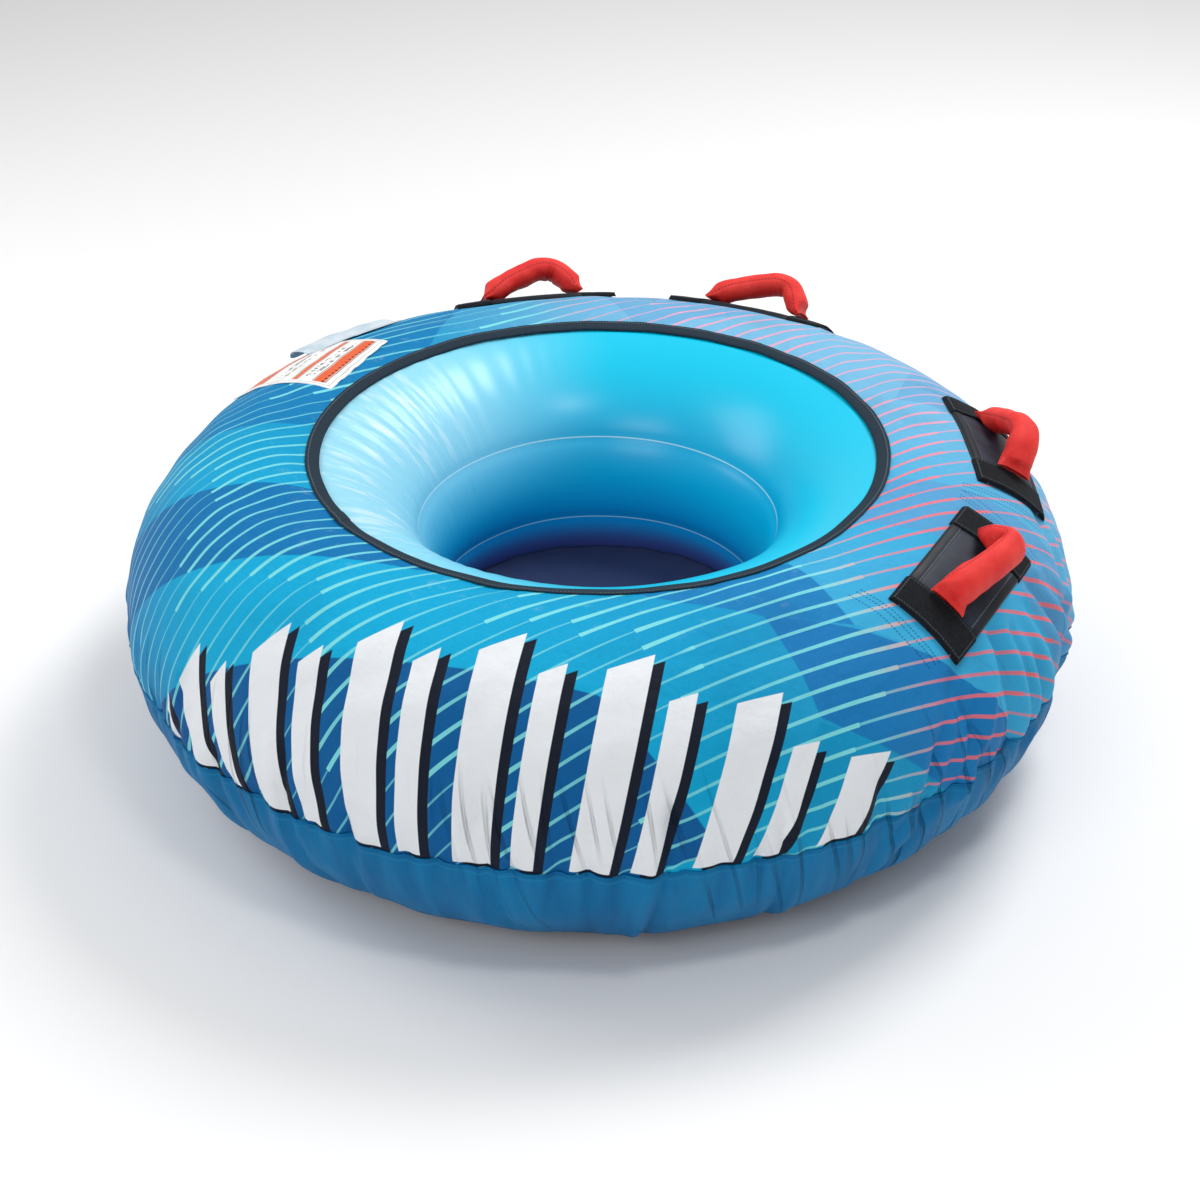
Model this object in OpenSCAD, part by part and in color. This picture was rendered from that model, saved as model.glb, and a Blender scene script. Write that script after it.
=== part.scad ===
// Towable inflatable tube for one rider, inflated and standing on the ground.
// Millimetres. +Z is up, +X points to the tow boat, and the origin is on the ground
// under the centre of the ring.
// Section angles are measured round the tube's round section: 0 is outward, 90 is the crest.

/* [Tube] */
// Overall diameter of the inflated tube
tube_diameter = 1250; // [1150:10:1350]
// Radius of the tube's round section, over the cover
section_radius = 207; // [200:1:214]
// Depth that the section flattens where it stands
ground_flat = 3; // [2:0.5:5]
// Radius of the opening in the top cover
opening_radius = 363; // [350:1:375]

/* [Bladder and cover] */
// Thickness of a cover panel
cover_thickness = 1; // [0.8:0.1:1.2]
// Wall of the air bladder
bladder_wall = 2.2; // [1.5:0.1:3]
// Section angle of the seam between the printed top and the plain side
side_seam_angle = -5; // [-8:0.5:-3]
// Section angle of the seam between the plain side and the base
base_seam_angle = -62; // [-65:1:-58]
// Height of the floor panel that closes the well
floor_height = 120; // [100:5:130]
// Width of the binding round the opening
binding_width = 17; // [12:1:20]
// Heights of the two welded rings inside the well
weld_heights = [177, 295];

/* [Handles] */
// Direction of the front pair, either side of the tow direction
front_handle_azimuth = 30; // [26:1:34]
// Direction of the rear pair
rear_handle_azimuth = 67; // [60:1:72]
// Section angle of the middle of each pad
handle_section_angle = 57.5; // [52:0.5:60]
// Length of a pad along the grip
pad_length = 240; // [230:2:250]
// Width of a pad down the section
pad_width = 108; // [100:2:120]
// Thickness of the neoprene pad
pad_thickness = 3; // [2:0.5:4]
// Width of the webbing band over each end of a pad
band_width = 50; // [45:1:52]
// Thickness of a band
band_thickness = 2.2; // [1.5:0.1:3]
// Height of the grip's hinge line over the cover
hinge_height = 21; // [21:0.5:23]
// Rise of the grip's middle over its hinge line
grip_rise = 26; // [22:1:30]
// Half thickness of the grip
grip_radius = 15; // [14:0.5:15.5]
// Extra half width of the grip across its arch
grip_flat = 4; // [3:0.5:4]
// Lean at rest of the front left, rear left, front right and rear right grips
grip_leans = [16, 20, -4, 38];

/* [Tow point] */
// Section angle of the tow point on the side
tow_angle = -32; // [-36:1:-30]
// Bore for the tow rope
tow_bore = 24; // [20:1:26]
// Thickness of the tow link
link_thickness = 14; // [12:1:16]
// Width of the tow webbing
tow_webbing = 50; // [40:1:50]

/* [Valve] */
// Direction of the valve
valve_azimuth = 100; // [96:1:104]
// Section angle of the valve
valve_angle = 50; // [48:1:52]
// Length of the cover flap, down the section
flap_length = 95; // [90:1:100]
// Width of the flap
flap_width = 160; // [140:5:170]
// Angle that the flap stands open
flap_lift = 19; // [16:1:24]

/* [Label and zipper] */
// Size of the label patch down the section and round the ring
label_size = [165, 164];
// Direction of the label patch
label_azimuth = 113; // [113:1:116]
// Section angle of the middle of the label patch
label_angle = 71; // [68:1:74]
// Angle that the label patch is turned on the cover
label_turn = 9; // [0:1:12]
// Section angle that the zipper runs along
zipper_angle = -42; // [-46:1:-38]
// Directions of the zipper's two ends
zipper_ends = [58, 142];

/* [Hidden] */
$fn = 180;
ring_radius = tube_diameter / 2 - section_radius;
ring_height = section_radius - ground_flat;
cover_inner = section_radius - cover_thickness;
bladder_outer = cover_inner - 0.4;
opening_angle = acos((opening_radius - ring_radius) / section_radius);
binding_angle = binding_width / section_radius * 180 / PI;
floor_angle = -180 + asin((ring_height - floor_height) / section_radius);
pad_base = section_radius + 0.4;
pad_top = pad_base + pad_thickness;
band_inner = pad_length / 2 - band_width;
hinge_radius = section_radius + hinge_height;
// the grip is an arc of a circle through its two hinge points
hinge_half = 56;
arch_radius = (hinge_half * hinge_half + grip_rise * grip_rise) / (2 * grip_rise);
grip_end = band_inner - 11;
web_radius = 5;
// distances of the tow link's hinge and bore from each other and from the cover
link_hinge_radius = section_radius + 20;
link_reach = 40;
link_pin = 6;
flap_hinge_angle = valve_angle + 13;
flap_base = section_radius + 2.2;
slider_azimuth = zipper_ends[0] + 4;
pull_radius = section_radius + 9.5;
pull_x = ring_radius + pull_radius * cos(zipper_angle);
pull_z = ring_height + pull_radius * sin(zipper_angle);

print_blue = "#2aa5cf";
side_teal = "#0f7fae";
base_navy = "#16244f";
bladder_blue = "#35bfe6";
weld_white = "#d7f0fa";
trim_black = "#22292d";
webbing_black = "#1c2124";
grip_red = "#e23a36";
foam_grey = "#b9bcc0";
label_white = "#f3f3f1";
valve_white = "#e8ecee";
metal = "#b8bdc2";

// the solid half plane over a height, for the flat where the tube stands
module above(height)
  translate([-ring_radius, height]) square([3 * ring_radius, 3 * section_radius]);

// the filled round section, flat at a height
module section(radius, flat_height)
  intersection() {
    translate([ring_radius, ring_height]) circle(radius);
    above(flat_height);
  }

// a sector of the section plane between two section angles
module sector(from, to)
  translate([ring_radius, ring_height])
    polygon(concat([[0, 0]], [for (k = [0:6])
      let (a = from + (to - from) * k / 6) 400 * [cos(a), sin(a)]]));

// a skin between two radii of the section and two section angles, round the ring
module skin(inner, outer, from, to, azimuth = 0, sweep = 360)
  rotate([0, 0, azimuth])
    rotate_extrude(angle = sweep)
      intersection() {
        translate([ring_radius, ring_height])
          difference() {
            circle(outer);
            circle(inner);
          }
        sector(from, to);
      }

// puts its children on the section: local Z is outward, X runs down the outside, Y round it
module on_section(azimuth, angle, radius = 0)
  rotate([0, 0, azimuth])
    translate([ring_radius, 0, ring_height])
      rotate([0, 90 - angle, 0])
        translate([0, 0, radius])
          children();

// a flat-sided patch of a skin, at a place on the section
module patch(azimuth, angle, inner, outer, size, centre = [0, 0], turn = 0)
  intersection() {
    skin(inner, outer, angle - 40, angle + 40, azimuth - 24, 48);
    on_section(azimuth, angle)
      rotate([0, 0, turn])
        translate([centre[0] - size[0] / 2, centre[1] - size[1] / 2, inner - 40])
          cube([size[0], size[1], 60]);
  }

// the air bladder: a closed ring with a thin wall and air inside
module bladder()
  color(bladder_blue)
    rotate_extrude()
      difference() {
        section(bladder_outer, 1.4);
        section(bladder_outer - bladder_wall, 1.4 + bladder_wall);
      }

// raised weld beads where the bladder's panels meet, inside the well
module bladder_welds()
  color(weld_white)
    for (height = weld_heights) {
      angle = 180 - asin((height - ring_height) / bladder_outer);
      skin(bladder_outer + 0.3, bladder_outer + 1.1, angle - 0.4, angle + 0.4);
    }

// printed top panel of the cover, open round the valve
module cover_top()
  color(print_blue)
    difference() {
      skin(cover_inner, section_radius, side_seam_angle, opening_angle);
      on_section(valve_azimuth, valve_angle, section_radius - 20) cylinder(h = 40, r = 34);
    }

// plain side panel under the seam
module cover_side()
  color(side_teal)
    skin(cover_inner, section_radius, base_seam_angle + 0.1, side_seam_angle - 0.1);

// base panel: under the tube and up the inside of the well to the floor
module cover_base()
  color(base_navy)
    rotate_extrude()
      intersection() {
        difference() {
          section(section_radius, 0);
          section(cover_inner, cover_thickness);
        }
        sector(floor_angle, base_seam_angle - 0.1);
      }

// floor panel across the well
module cover_floor()
  color(base_navy)
    intersection() {
      translate([0, 0, floor_height]) cylinder(h = 3, r = ring_radius);
      rotate_extrude()
        difference() {
          translate([0, ring_height - section_radius])
            square([ring_radius, section_radius]);
          translate([ring_radius, ring_height]) circle(section_radius + 0.3);
        }
    }

// binding folded over the edge of the opening
module opening_binding()
  color(trim_black)
    difference() {
      skin(cover_inner, section_radius + 2.4, opening_angle - binding_angle,
           opening_angle + 0.7);
      skin(cover_inner - 1, section_radius + 0.3, opening_angle - binding_angle - 1,
           opening_angle + 0.1);
    }

// piping along the seam between the printed top and the side
module side_piping()
  color(side_teal)
    skin(section_radius + 0.3, section_radius + 1.3, side_seam_angle - 0.5,
         side_seam_angle + 0.5);

// neoprene pad under a grip
module pad(azimuth)
  color(trim_black)
    patch(azimuth, handle_section_angle, pad_base, pad_top, [pad_width, pad_length]);

// the two webbing bands sewn over the ends of a pad
module bands(azimuth)
  color(webbing_black)
    for (side = [-1, 1])
      patch(azimuth, handle_section_angle, pad_top + 0.3, pad_top + 0.3 + band_thickness,
            [pad_width + 4, band_width], [0, side * (band_inner + band_width / 2)]);

// the sewn ends of the sleeve, each with an eye for the webbing core
module anchors(azimuth)
  color(grip_red)
    for (side = [0, 1])
      difference() {
        on_section(azimuth, handle_section_angle, section_radius)
          mirror([0, side, 0])
            difference() {
              translate([-22, 0, 0])
                rotate([90, 0, 90])
                  linear_extrude(44)
                    polygon([[grip_end + 1, 0], [band_inner - 0.4, 0],
                      [band_inner - 0.4, 10], [band_inner - 3, hinge_height + 7],
                      [grip_end + 1, hinge_height + 8]]);
              translate([0, grip_end, hinge_height])
                rotate([-90, 0, 0]) cylinder(h = 20, r = web_radius + 0.4);
            }
        rotate_extrude() translate([ring_radius, ring_height]) circle(pad_top + 0.3);
      }

// an arc of a round-sided oval, along the grip
module grip_arc(radius, flat)
  intersection() {
    translate([0, 0, grip_rise - arch_radius])
      rotate([90, 0, 90])
        rotate([0, 0, 90 - asin(hinge_half / arch_radius)])
          rotate_extrude(angle = 2 * asin(hinge_half / arch_radius))
            translate([arch_radius, 0]) {
              square([2 * radius, 2 * flat], center = true);
              for (end = [-flat, flat])
                translate([0, end]) circle(radius);
            }
    cube([100, 2 * grip_end, 200], center = true);
  }

// puts a grip's parts on its hinge line, at its lean
module at_grip(azimuth, lean)
  on_section(azimuth, handle_section_angle, hinge_radius)
    rotate([0, lean, 0])
      children();

// foam core of a grip
module core(azimuth, lean)
  color(foam_grey)
    at_grip(azimuth, lean)
      difference() {
        grip_arc(grip_radius - 2.2, grip_flat);
        rotate([90, 0, 0]) cylinder(h = 200, r = web_radius + 0.1, center = true);
      }

// fabric sleeve of a grip
module sleeve(azimuth, lean)
  color(grip_red)
    at_grip(azimuth, lean)
      difference() {
        grip_arc(grip_radius, grip_flat);
        grip_arc(grip_radius - 2, grip_flat);
        rotate([90, 0, 0]) cylinder(h = 200, r = web_radius + 0.1, center = true);
      }

// rolled webbing at both ends of a grip, which turns in the eyes of the anchors
module webbing(azimuth, lean)
  color(webbing_black)
    at_grip(azimuth, lean)
      for (side = [-1, 1])
        rotate([90 * side, 0, 0])
          translate([0, 0, hinge_half - 10])
            cylinder(h = grip_end + 10 - hinge_half + 10, r = web_radius);

// reinforcement patch behind the tow webbing
module tow_patch()
  color(webbing_black)
    patch(0, tow_angle, pad_base, pad_base + 2, [96, 130]);

// the tow webbing: two legs off the patch that close in a loop round the link's bar
module tow_strap()
  color(webbing_black)
    difference() {
      on_section(0, tow_angle)
        rotate([90, 0, 0])
          linear_extrude(tow_webbing, center = true)
            difference() {
              union() {
                translate([0, link_hinge_radius]) circle(link_pin + 3.4);
                polygon([[-40, section_radius - 2], [-40, section_radius + 6.5],
                  [-7, section_radius + 16], [7, section_radius + 16],
                  [40, section_radius + 6.5], [40, section_radius - 2]]);
              }
              translate([0, link_hinge_radius]) circle(link_pin + 0.5);
              polygon([[-24, section_radius + 6], [24, section_radius + 6],
                [0, section_radius + 11.5]]);
            }
      rotate_extrude() translate([ring_radius, ring_height]) circle(pad_base + 2.3);
    }

// puts the tow link on its hinge, hanging straight down
module at_link()
  translate([ring_radius + link_hinge_radius * cos(tow_angle), 0,
             ring_height + link_hinge_radius * sin(tow_angle)])
    children();

// flat outline of the tow link, in the plane across its bore
module link_outline() {
  half = tow_webbing / 2 + 3;
  difference() {
    union() {
      polygon([[-half - 7, 0], [-half - 7, -8], [-16, -link_reach - 10],
        [16, -link_reach - 10], [half + 7, -8], [half + 7, 0]]);
      translate([0, -link_reach]) circle(tow_bore / 2 + 9);
      for (side = [-1, 1])
        translate([side * (half + 3.5), 0]) circle(7);
    }
    polygon([[-half, 12], [-half, -11], [-12, -link_reach + 22], [12, -link_reach + 22],
      [half, -11], [half, 12]]);
    translate([0, -link_reach]) circle(tow_bore / 2);
  }
}

// tow link: a bar in the webbing's loop, two arms and a ring for the rope
module tow_link()
  color(metal)
    at_link() {
      rotate([90, 0, 90]) linear_extrude(link_thickness, center = true) link_outline();
      rotate([90, 0, 0]) cylinder(h = tow_webbing + 8, r = link_pin, center = true);
    }

// sewn hem that holds the flap, above its fold
module flap_hem()
  color(valve_white)
    patch(valve_azimuth, flap_hinge_angle, pad_base, pad_base + 1,
          [12, flap_width - 60], [-10, -25]);

// flap over the valve, standing open from its fold
module valve_flap() {
  fold = flap_base - 0.2;
  color(valve_white) {
    on_section(valve_azimuth, flap_hinge_angle, fold)
      rotate([0, -flap_lift, 0])
        translate([0, 0, -fold])
          rotate([0, flap_hinge_angle - 90, 0])
            translate([-ring_radius, 0, -ring_height])
              rotate([0, 0, -valve_azimuth])
                patch(valve_azimuth, flap_hinge_angle, flap_base - 0.8, flap_base + 0.7,
                      [flap_length - 1, flap_width], [flap_length / 2 + 0.5, 0]);
    on_section(valve_azimuth, flap_hinge_angle, fold)
      rotate([90, 0, 0]) cylinder(h = flap_width, r = 1.1, center = true);
  }
}

// flange of the valve, welded to the bladder
module valve_base()
  color(valve_white)
    difference() {
      intersection() {
        skin(bladder_outer + 0.3, section_radius + 0.8, valve_angle - 12,
             valve_angle + 12, valve_azimuth - 6, 12);
        on_section(valve_azimuth, valve_angle, section_radius - 20) cylinder(h = 40, r = 31);
      }
      on_section(valve_azimuth, valve_angle, section_radius - 20)
        cylinder(h = 40, r = 19.2);
    }

// collar of the valve
module valve_body()
  color(valve_white)
    on_section(valve_azimuth, valve_angle, section_radius + 0.2)
      difference() {
        cylinder(h = 5.3, r = 19);
        translate([0, 0, 0.8]) cylinder(h = 10, r = 14.5);
        translate([0, 0, -1]) cylinder(h = 10, r = 9);
      }

// rubber disc that holds the air
module valve_diaphragm()
  color(webbing_black)
    on_section(valve_azimuth, valve_angle, section_radius + 1.1)
      cylinder(h = 0.7, r = 13.5);

// cap that screws into the collar, with a finger bar across it
module valve_cap()
  color(valve_white)
    on_section(valve_azimuth, valve_angle, section_radius) {
      translate([0, 0, 2.4]) cylinder(h = 3.6, r = 14);
      translate([0, 0, 5.8]) cylinder(h = 1.3, r = 19);
      translate([-2, -13, 7]) cube([4, 26, 1.2]);
    }

// label patch, sewn a little askew
module label_patch()
  color(label_white)
    patch(label_azimuth, label_angle, pad_base, pad_base + 0.8, label_size,
          turn = label_turn);

// woven tape of the zipper
module zipper_tape()
  color(webbing_black)
    skin(pad_base, pad_base + 0.8, zipper_angle - 4, zipper_angle + 4,
         zipper_ends[0], zipper_ends[1] - zipper_ends[0]);

// closed rows of zipper teeth
module zipper_teeth()
  color(trim_black)
    skin(pad_base + 1.1, pad_base + 2.9, zipper_angle - 0.8, zipper_angle + 0.8,
         zipper_ends[0] + 2, zipper_ends[1] - zipper_ends[0] - 4);

// slider of the zipper, with two ears for the pull
module zipper_slider()
  color(metal)
    difference() {
      union() {
        patch(slider_azimuth, zipper_angle, pad_base + 3.2, pad_base + 5.4, [11, 16]);
        on_section(slider_azimuth, zipper_angle, pad_base + 4.6)
          for (side = [-1, 1])
            translate([-2.2, side * 3.6 - 0.8, 0])
              cube([4.4, 1.6, pull_radius - pad_base - 2.4]);
      }
      on_section(slider_azimuth, zipper_angle, pull_radius)
        rotate([90, 0, 0]) cylinder(h = 20, r = 1.1, center = true);
    }

// pull tab that hangs from the slider
module zipper_pull()
  color(metal)
    rotate([0, 0, slider_azimuth])
      translate([pull_x, 0, pull_z]) {
        rotate([90, 0, 0]) cylinder(h = 8.4, r = 1, center = true);
        difference() {
          union() {
            rotate([90, 0, 0]) cylinder(h = 5, r = 1.7, center = true);
            translate([-0.8, -2.5, -6]) cube([1.6, 5, 6]);
            translate([-0.8, -4, -26]) cube([1.6, 8, 21]);
          }
          translate([-2, 0, -22]) rotate([0, 90, 0]) cylinder(h = 4, r = 1.6);
        }
      }

bladder();
bladder_welds();
cover_top();
cover_side();
cover_base();
cover_floor();
opening_binding();
side_piping();
label_patch();
pad(front_handle_azimuth);  // pad_front_left
pad(rear_handle_azimuth);  // pad_rear_left
pad(-front_handle_azimuth);  // pad_front_right
pad(-rear_handle_azimuth);  // pad_rear_right
bands(front_handle_azimuth);  // bands_front_left
bands(rear_handle_azimuth);  // bands_rear_left
bands(-front_handle_azimuth);  // bands_front_right
bands(-rear_handle_azimuth);  // bands_rear_right
anchors(front_handle_azimuth);  // anchors_front_left
anchors(rear_handle_azimuth);  // anchors_rear_left
anchors(-front_handle_azimuth);  // anchors_front_right
anchors(-rear_handle_azimuth);  // anchors_rear_right
core(front_handle_azimuth, grip_leans[0]);  // core_front_left
core(rear_handle_azimuth, grip_leans[1]);  // core_rear_left
core(-front_handle_azimuth, grip_leans[2]);  // core_front_right
core(-rear_handle_azimuth, grip_leans[3]);  // core_rear_right
sleeve(front_handle_azimuth, grip_leans[0]);  // sleeve_front_left
sleeve(rear_handle_azimuth, grip_leans[1]);  // sleeve_rear_left
sleeve(-front_handle_azimuth, grip_leans[2]);  // sleeve_front_right
sleeve(-rear_handle_azimuth, grip_leans[3]);  // sleeve_rear_right
webbing(front_handle_azimuth, grip_leans[0]);  // webbing_front_left
webbing(rear_handle_azimuth, grip_leans[1]);  // webbing_rear_left
webbing(-front_handle_azimuth, grip_leans[2]);  // webbing_front_right
webbing(-rear_handle_azimuth, grip_leans[3]);  // webbing_rear_right
tow_patch();
tow_strap();
tow_link();
flap_hem();
valve_flap();
valve_base();
valve_body();
valve_diaphragm();
valve_cap();
zipper_tape();
zipper_teeth();
zipper_slider();
zipper_pull();
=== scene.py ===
import functools
import math
import operator

import bmesh
import bpy
import numpy as np
from mathutils import Matrix, Vector


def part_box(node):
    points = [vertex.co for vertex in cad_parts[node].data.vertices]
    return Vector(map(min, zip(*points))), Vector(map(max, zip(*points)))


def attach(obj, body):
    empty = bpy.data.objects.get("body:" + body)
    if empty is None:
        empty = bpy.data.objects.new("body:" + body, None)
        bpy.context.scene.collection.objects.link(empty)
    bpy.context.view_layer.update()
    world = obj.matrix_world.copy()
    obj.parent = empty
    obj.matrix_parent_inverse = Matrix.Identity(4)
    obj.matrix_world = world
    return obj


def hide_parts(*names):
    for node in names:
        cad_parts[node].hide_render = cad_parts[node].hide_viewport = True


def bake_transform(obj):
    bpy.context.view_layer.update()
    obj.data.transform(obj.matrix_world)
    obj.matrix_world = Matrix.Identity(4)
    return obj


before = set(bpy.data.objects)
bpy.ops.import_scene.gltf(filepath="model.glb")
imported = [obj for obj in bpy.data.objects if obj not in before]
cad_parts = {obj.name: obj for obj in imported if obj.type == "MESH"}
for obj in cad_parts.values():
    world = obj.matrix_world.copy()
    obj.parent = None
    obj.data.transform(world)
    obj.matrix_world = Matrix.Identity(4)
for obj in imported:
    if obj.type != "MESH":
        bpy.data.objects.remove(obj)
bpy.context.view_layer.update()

# ---------------- sizes, from the frame
DEGREE = math.pi / 180
SECTION = 0.207  # radius of the tube's round section
TOP_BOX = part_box("cover_top")
RING = TOP_BOX[1].x - SECTION  # radius of the ring that the section's centre runs on
HEIGHT = TOP_BOX[1].z - SECTION
OPENING_RADIUS = 0.363
# angles round the section, in degrees up from its outermost point
OPENING_ANGLE = 105.4
SEAM_ANGLE = -5.0
BASE_ANGLE = -62.0
FLOOR_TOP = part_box("cover_floor")[1].z
FLOOR_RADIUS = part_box("cover_floor")[1].x
FLOOR_ANGLE = -180 + math.degrees(math.asin((HEIGHT - FLOOR_TOP + 0.003) / SECTION))
WELDS = [0.177, 0.295]  # heights of the bladder's welded joints
PANEL_THICK = 0.0009
# the print and the camera use azimuths turned from the frame's
PHOTO_TURN = 33.75
# azimuth, lean, where the soft grip bends, and how far its pad is sewn askew
HANDLES = {"front_left": (30, 16, -0.45, 0.0), "rear_left": (67, 20, -0.1, 0.0),
           "front_right": (-30, -4, -0.3, 0.0), "rear_right": (-67, 38, 1.0, 4.5)}
HANDLE_ANGLE = 57.5
PAD_SIZE = (0.108, 0.236)
PAD_BASE = 0.0006
PAD_THICK = 0.003
PAD_ROW = 0.0125  # from the pad's edge to its stitching
BAND = 0.05
BAND_LENGTH = 0.112
BAND_BEND = 0.0545  # where a band steps down over the pad's edge
# a grip's middle line in (along, out) of its pad, for a round arch and for a sharp bend
GRIP_ARCHED = ((-0.0705, 0.0070), (-0.0665, 0.0100), (-0.0560, 0.0165), (-0.0360, 0.0275),
               (-0.0080, 0.0410), (0.0140, 0.0485), (0.0360, 0.0440), (0.0535, 0.0295),
               (0.0640, 0.0150), (0.0705, 0.0070))
GRIP_BENT = ((-0.0705, 0.0070), (-0.0660, 0.0120), (-0.0560, 0.0205), (-0.0330, 0.0295),
             (0.0, 0.0400), (0.0320, 0.0485), (0.0500, 0.0460), (0.0590, 0.0300),
             (0.0645, 0.0155), (0.0705, 0.0070))
GRIP_HALF_WIDE = 0.0208
GRIP_HALF_THICK = (0.0052, 0.0162)  # at its sewn ends, and along the rest
GRIP_BEND = 0.70  # the share of its length where it creases
HINGE = 0.021
TOW_ANGLE = -32.0
TOW_PATCH = (0.13, 0.096)
FLAP = {"azimuth": 100.0, "angle": 63.0, "lift": 19.0, "length": 0.095, "width": 0.16,
        "hem": 0.016}
VALVE_ANGLE = 50.0
VALVE_HOLE = 0.034
LABEL = {"azimuth": 113.0, "angle": 71.0, "turn": 9.0, "size": (0.165, 0.164)}
ZIPPER = {"angle": -42.0, "start": 58.0, "end": 142.0, "tape": 0.0296, "pitch": 0.0032}


# ---------------- camera, light, floor
def photo_direction(azimuth, radius):
    """A point at an azimuth of the photograph's own frame, turned into the CAD frame."""
    a = math.radians(azimuth - PHOTO_TURN)
    return Vector((radius * math.cos(a), radius * math.sin(a), 0))


def add_camera():
    """The photograph's view of the tube, fitted to its outline."""
    distance, elevation, roll = 3.1004, math.radians(31.4917), 0.0029
    turn = Matrix.Rotation(math.radians(-PHOTO_TURN), 4, "Z")
    target = Vector((0.0021, 0.0, 0.1688))
    place = target + Vector((0, -distance * math.cos(elevation),
                             distance * math.sin(elevation)))
    data = bpy.data.cameras.new("camera")
    data.sensor_width = 36.0
    data.lens = 68.6
    data.clip_end = 120.0
    camera = bpy.data.objects.new("camera", data)
    bpy.context.scene.collection.objects.link(camera)
    look = (target - place).to_track_quat("-Z", "Y").to_matrix().to_4x4()
    camera.matrix_world = turn @ Matrix.Translation(place) @ look @ Matrix.Rotation(
        -roll, 4, "Z")
    bpy.context.scene.camera = camera


def add_area(name, azimuth, radius, height, size, power, colour=(1, 1, 1), aim=(0, 0, 0.25)):
    data = bpy.data.lights.new(name, "AREA")
    data.shape = "RECTANGLE"
    data.size, data.size_y = size
    data.energy = power
    data.color = colour
    lamp = bpy.data.objects.new(name, data)
    bpy.context.scene.collection.objects.link(lamp)
    lamp.location = photo_direction(azimuth, radius) + Vector((0, 0, height))
    lamp.rotation_euler = (Vector(aim) - lamp.location).to_track_quat("-Z", "Y").to_euler()


def add_studio():
    """A white world, four soft lights and a pale floor."""
    world = bpy.data.worlds.new("studio")
    world.use_nodes = True
    background = world.node_tree.nodes["Background"]
    background.inputs[0].default_value = (1.0, 1.0, 1.0, 1)
    background.inputs[1].default_value = 0.48
    bpy.context.scene.world = world
    bpy.context.scene.view_settings.view_transform = "Standard"
    add_area("key", 40, 2.2, 3.2, (1.5, 1.5), 84)
    add_area("front_fill", -120, 3.2, 2.2, (1.8, 1.2), 22)
    add_area("left_rim", 165, 2.6, 2.0, (1.4, 1.8), 26)
    add_area("well_window", -70, 1.5, 2.6, (0.5, 0.35), 10, aim=(0, 0.2, 0.3))
    mesh = bpy.data.meshes.new("floor")
    span, drop = 40.0, -0.0006
    mesh.from_pydata([(-span, -span, drop), (span, -span, drop), (span, span, drop),
                      (-span, span, drop)], [], [(0, 1, 2, 3)])
    floor = bpy.data.objects.new("floor", mesh)
    bpy.context.scene.collection.objects.link(floor)
    material = bpy.data.materials.new("floor")
    material.use_nodes = True
    shader = material.node_tree.nodes["Principled BSDF"]
    shader.inputs["Base Color"].default_value = (0.93, 0.93, 0.93, 1)
    shader.inputs["Roughness"].default_value = 0.9
    mesh.materials.append(material)


# ---------------- shader expressions
def feed(tree, entry, value):
    """Connects a node's input to a field or a socket, or gives it a number or colour."""
    if isinstance(value, Field):
        tree.links.new(value.socket, entry)
    elif isinstance(value, bpy.types.NodeSocket):
        tree.links.new(value, entry)
    else:
        entry.default_value = (*value, 1) if isinstance(value, tuple) else value


class Field:
    """A number at each point of a material, with operators that add Math nodes."""

    def __init__(self, tree, socket):
        self.tree, self.socket = tree, socket

    def op(self, kind, *others):
        node = self.tree.nodes.new("ShaderNodeMath")
        node.operation = kind
        for slot, value in enumerate((self, *others)):
            feed(self.tree, node.inputs[slot], value)
        return Field(self.tree, node.outputs[0])

    __add__ = functools.partialmethod(op, "ADD")
    __sub__ = functools.partialmethod(op, "SUBTRACT")
    __mul__ = functools.partialmethod(op, "MULTIPLY")
    __truediv__ = functools.partialmethod(op, "DIVIDE")
    __neg__ = functools.partialmethod(op, "MULTIPLY", -1.0)
    abs = functools.partialmethod(op, "ABSOLUTE")
    floor = functools.partialmethod(op, "FLOOR")
    fract = functools.partialmethod(op, "FRACT")
    sin = functools.partialmethod(op, "SINE")
    cos = functools.partialmethod(op, "COSINE")

    def __rsub__(self, number):
        return -self + number

    def dashes(self, low, high):
        """Dashes, one for each whole number that the field passes."""
        return (self.fract() - 0.5).abs().ramp(low, high)

    def ramp(self, low, high):
        """0 at low to 1 at high, smoothly; low may be the higher number."""
        node = self.tree.nodes.new("ShaderNodeMapRange")
        node.interpolation_type = "SMOOTHSTEP"
        flip = low > high
        ends = (high, low) if flip else (low, high)
        self.tree.links.new(self.socket, node.inputs[0])
        node.inputs[1].default_value, node.inputs[2].default_value = ends
        node.inputs[3].default_value, node.inputs[4].default_value = (1, 0) if flip else (0, 1)
        return Field(self.tree, node.outputs[0])


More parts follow.
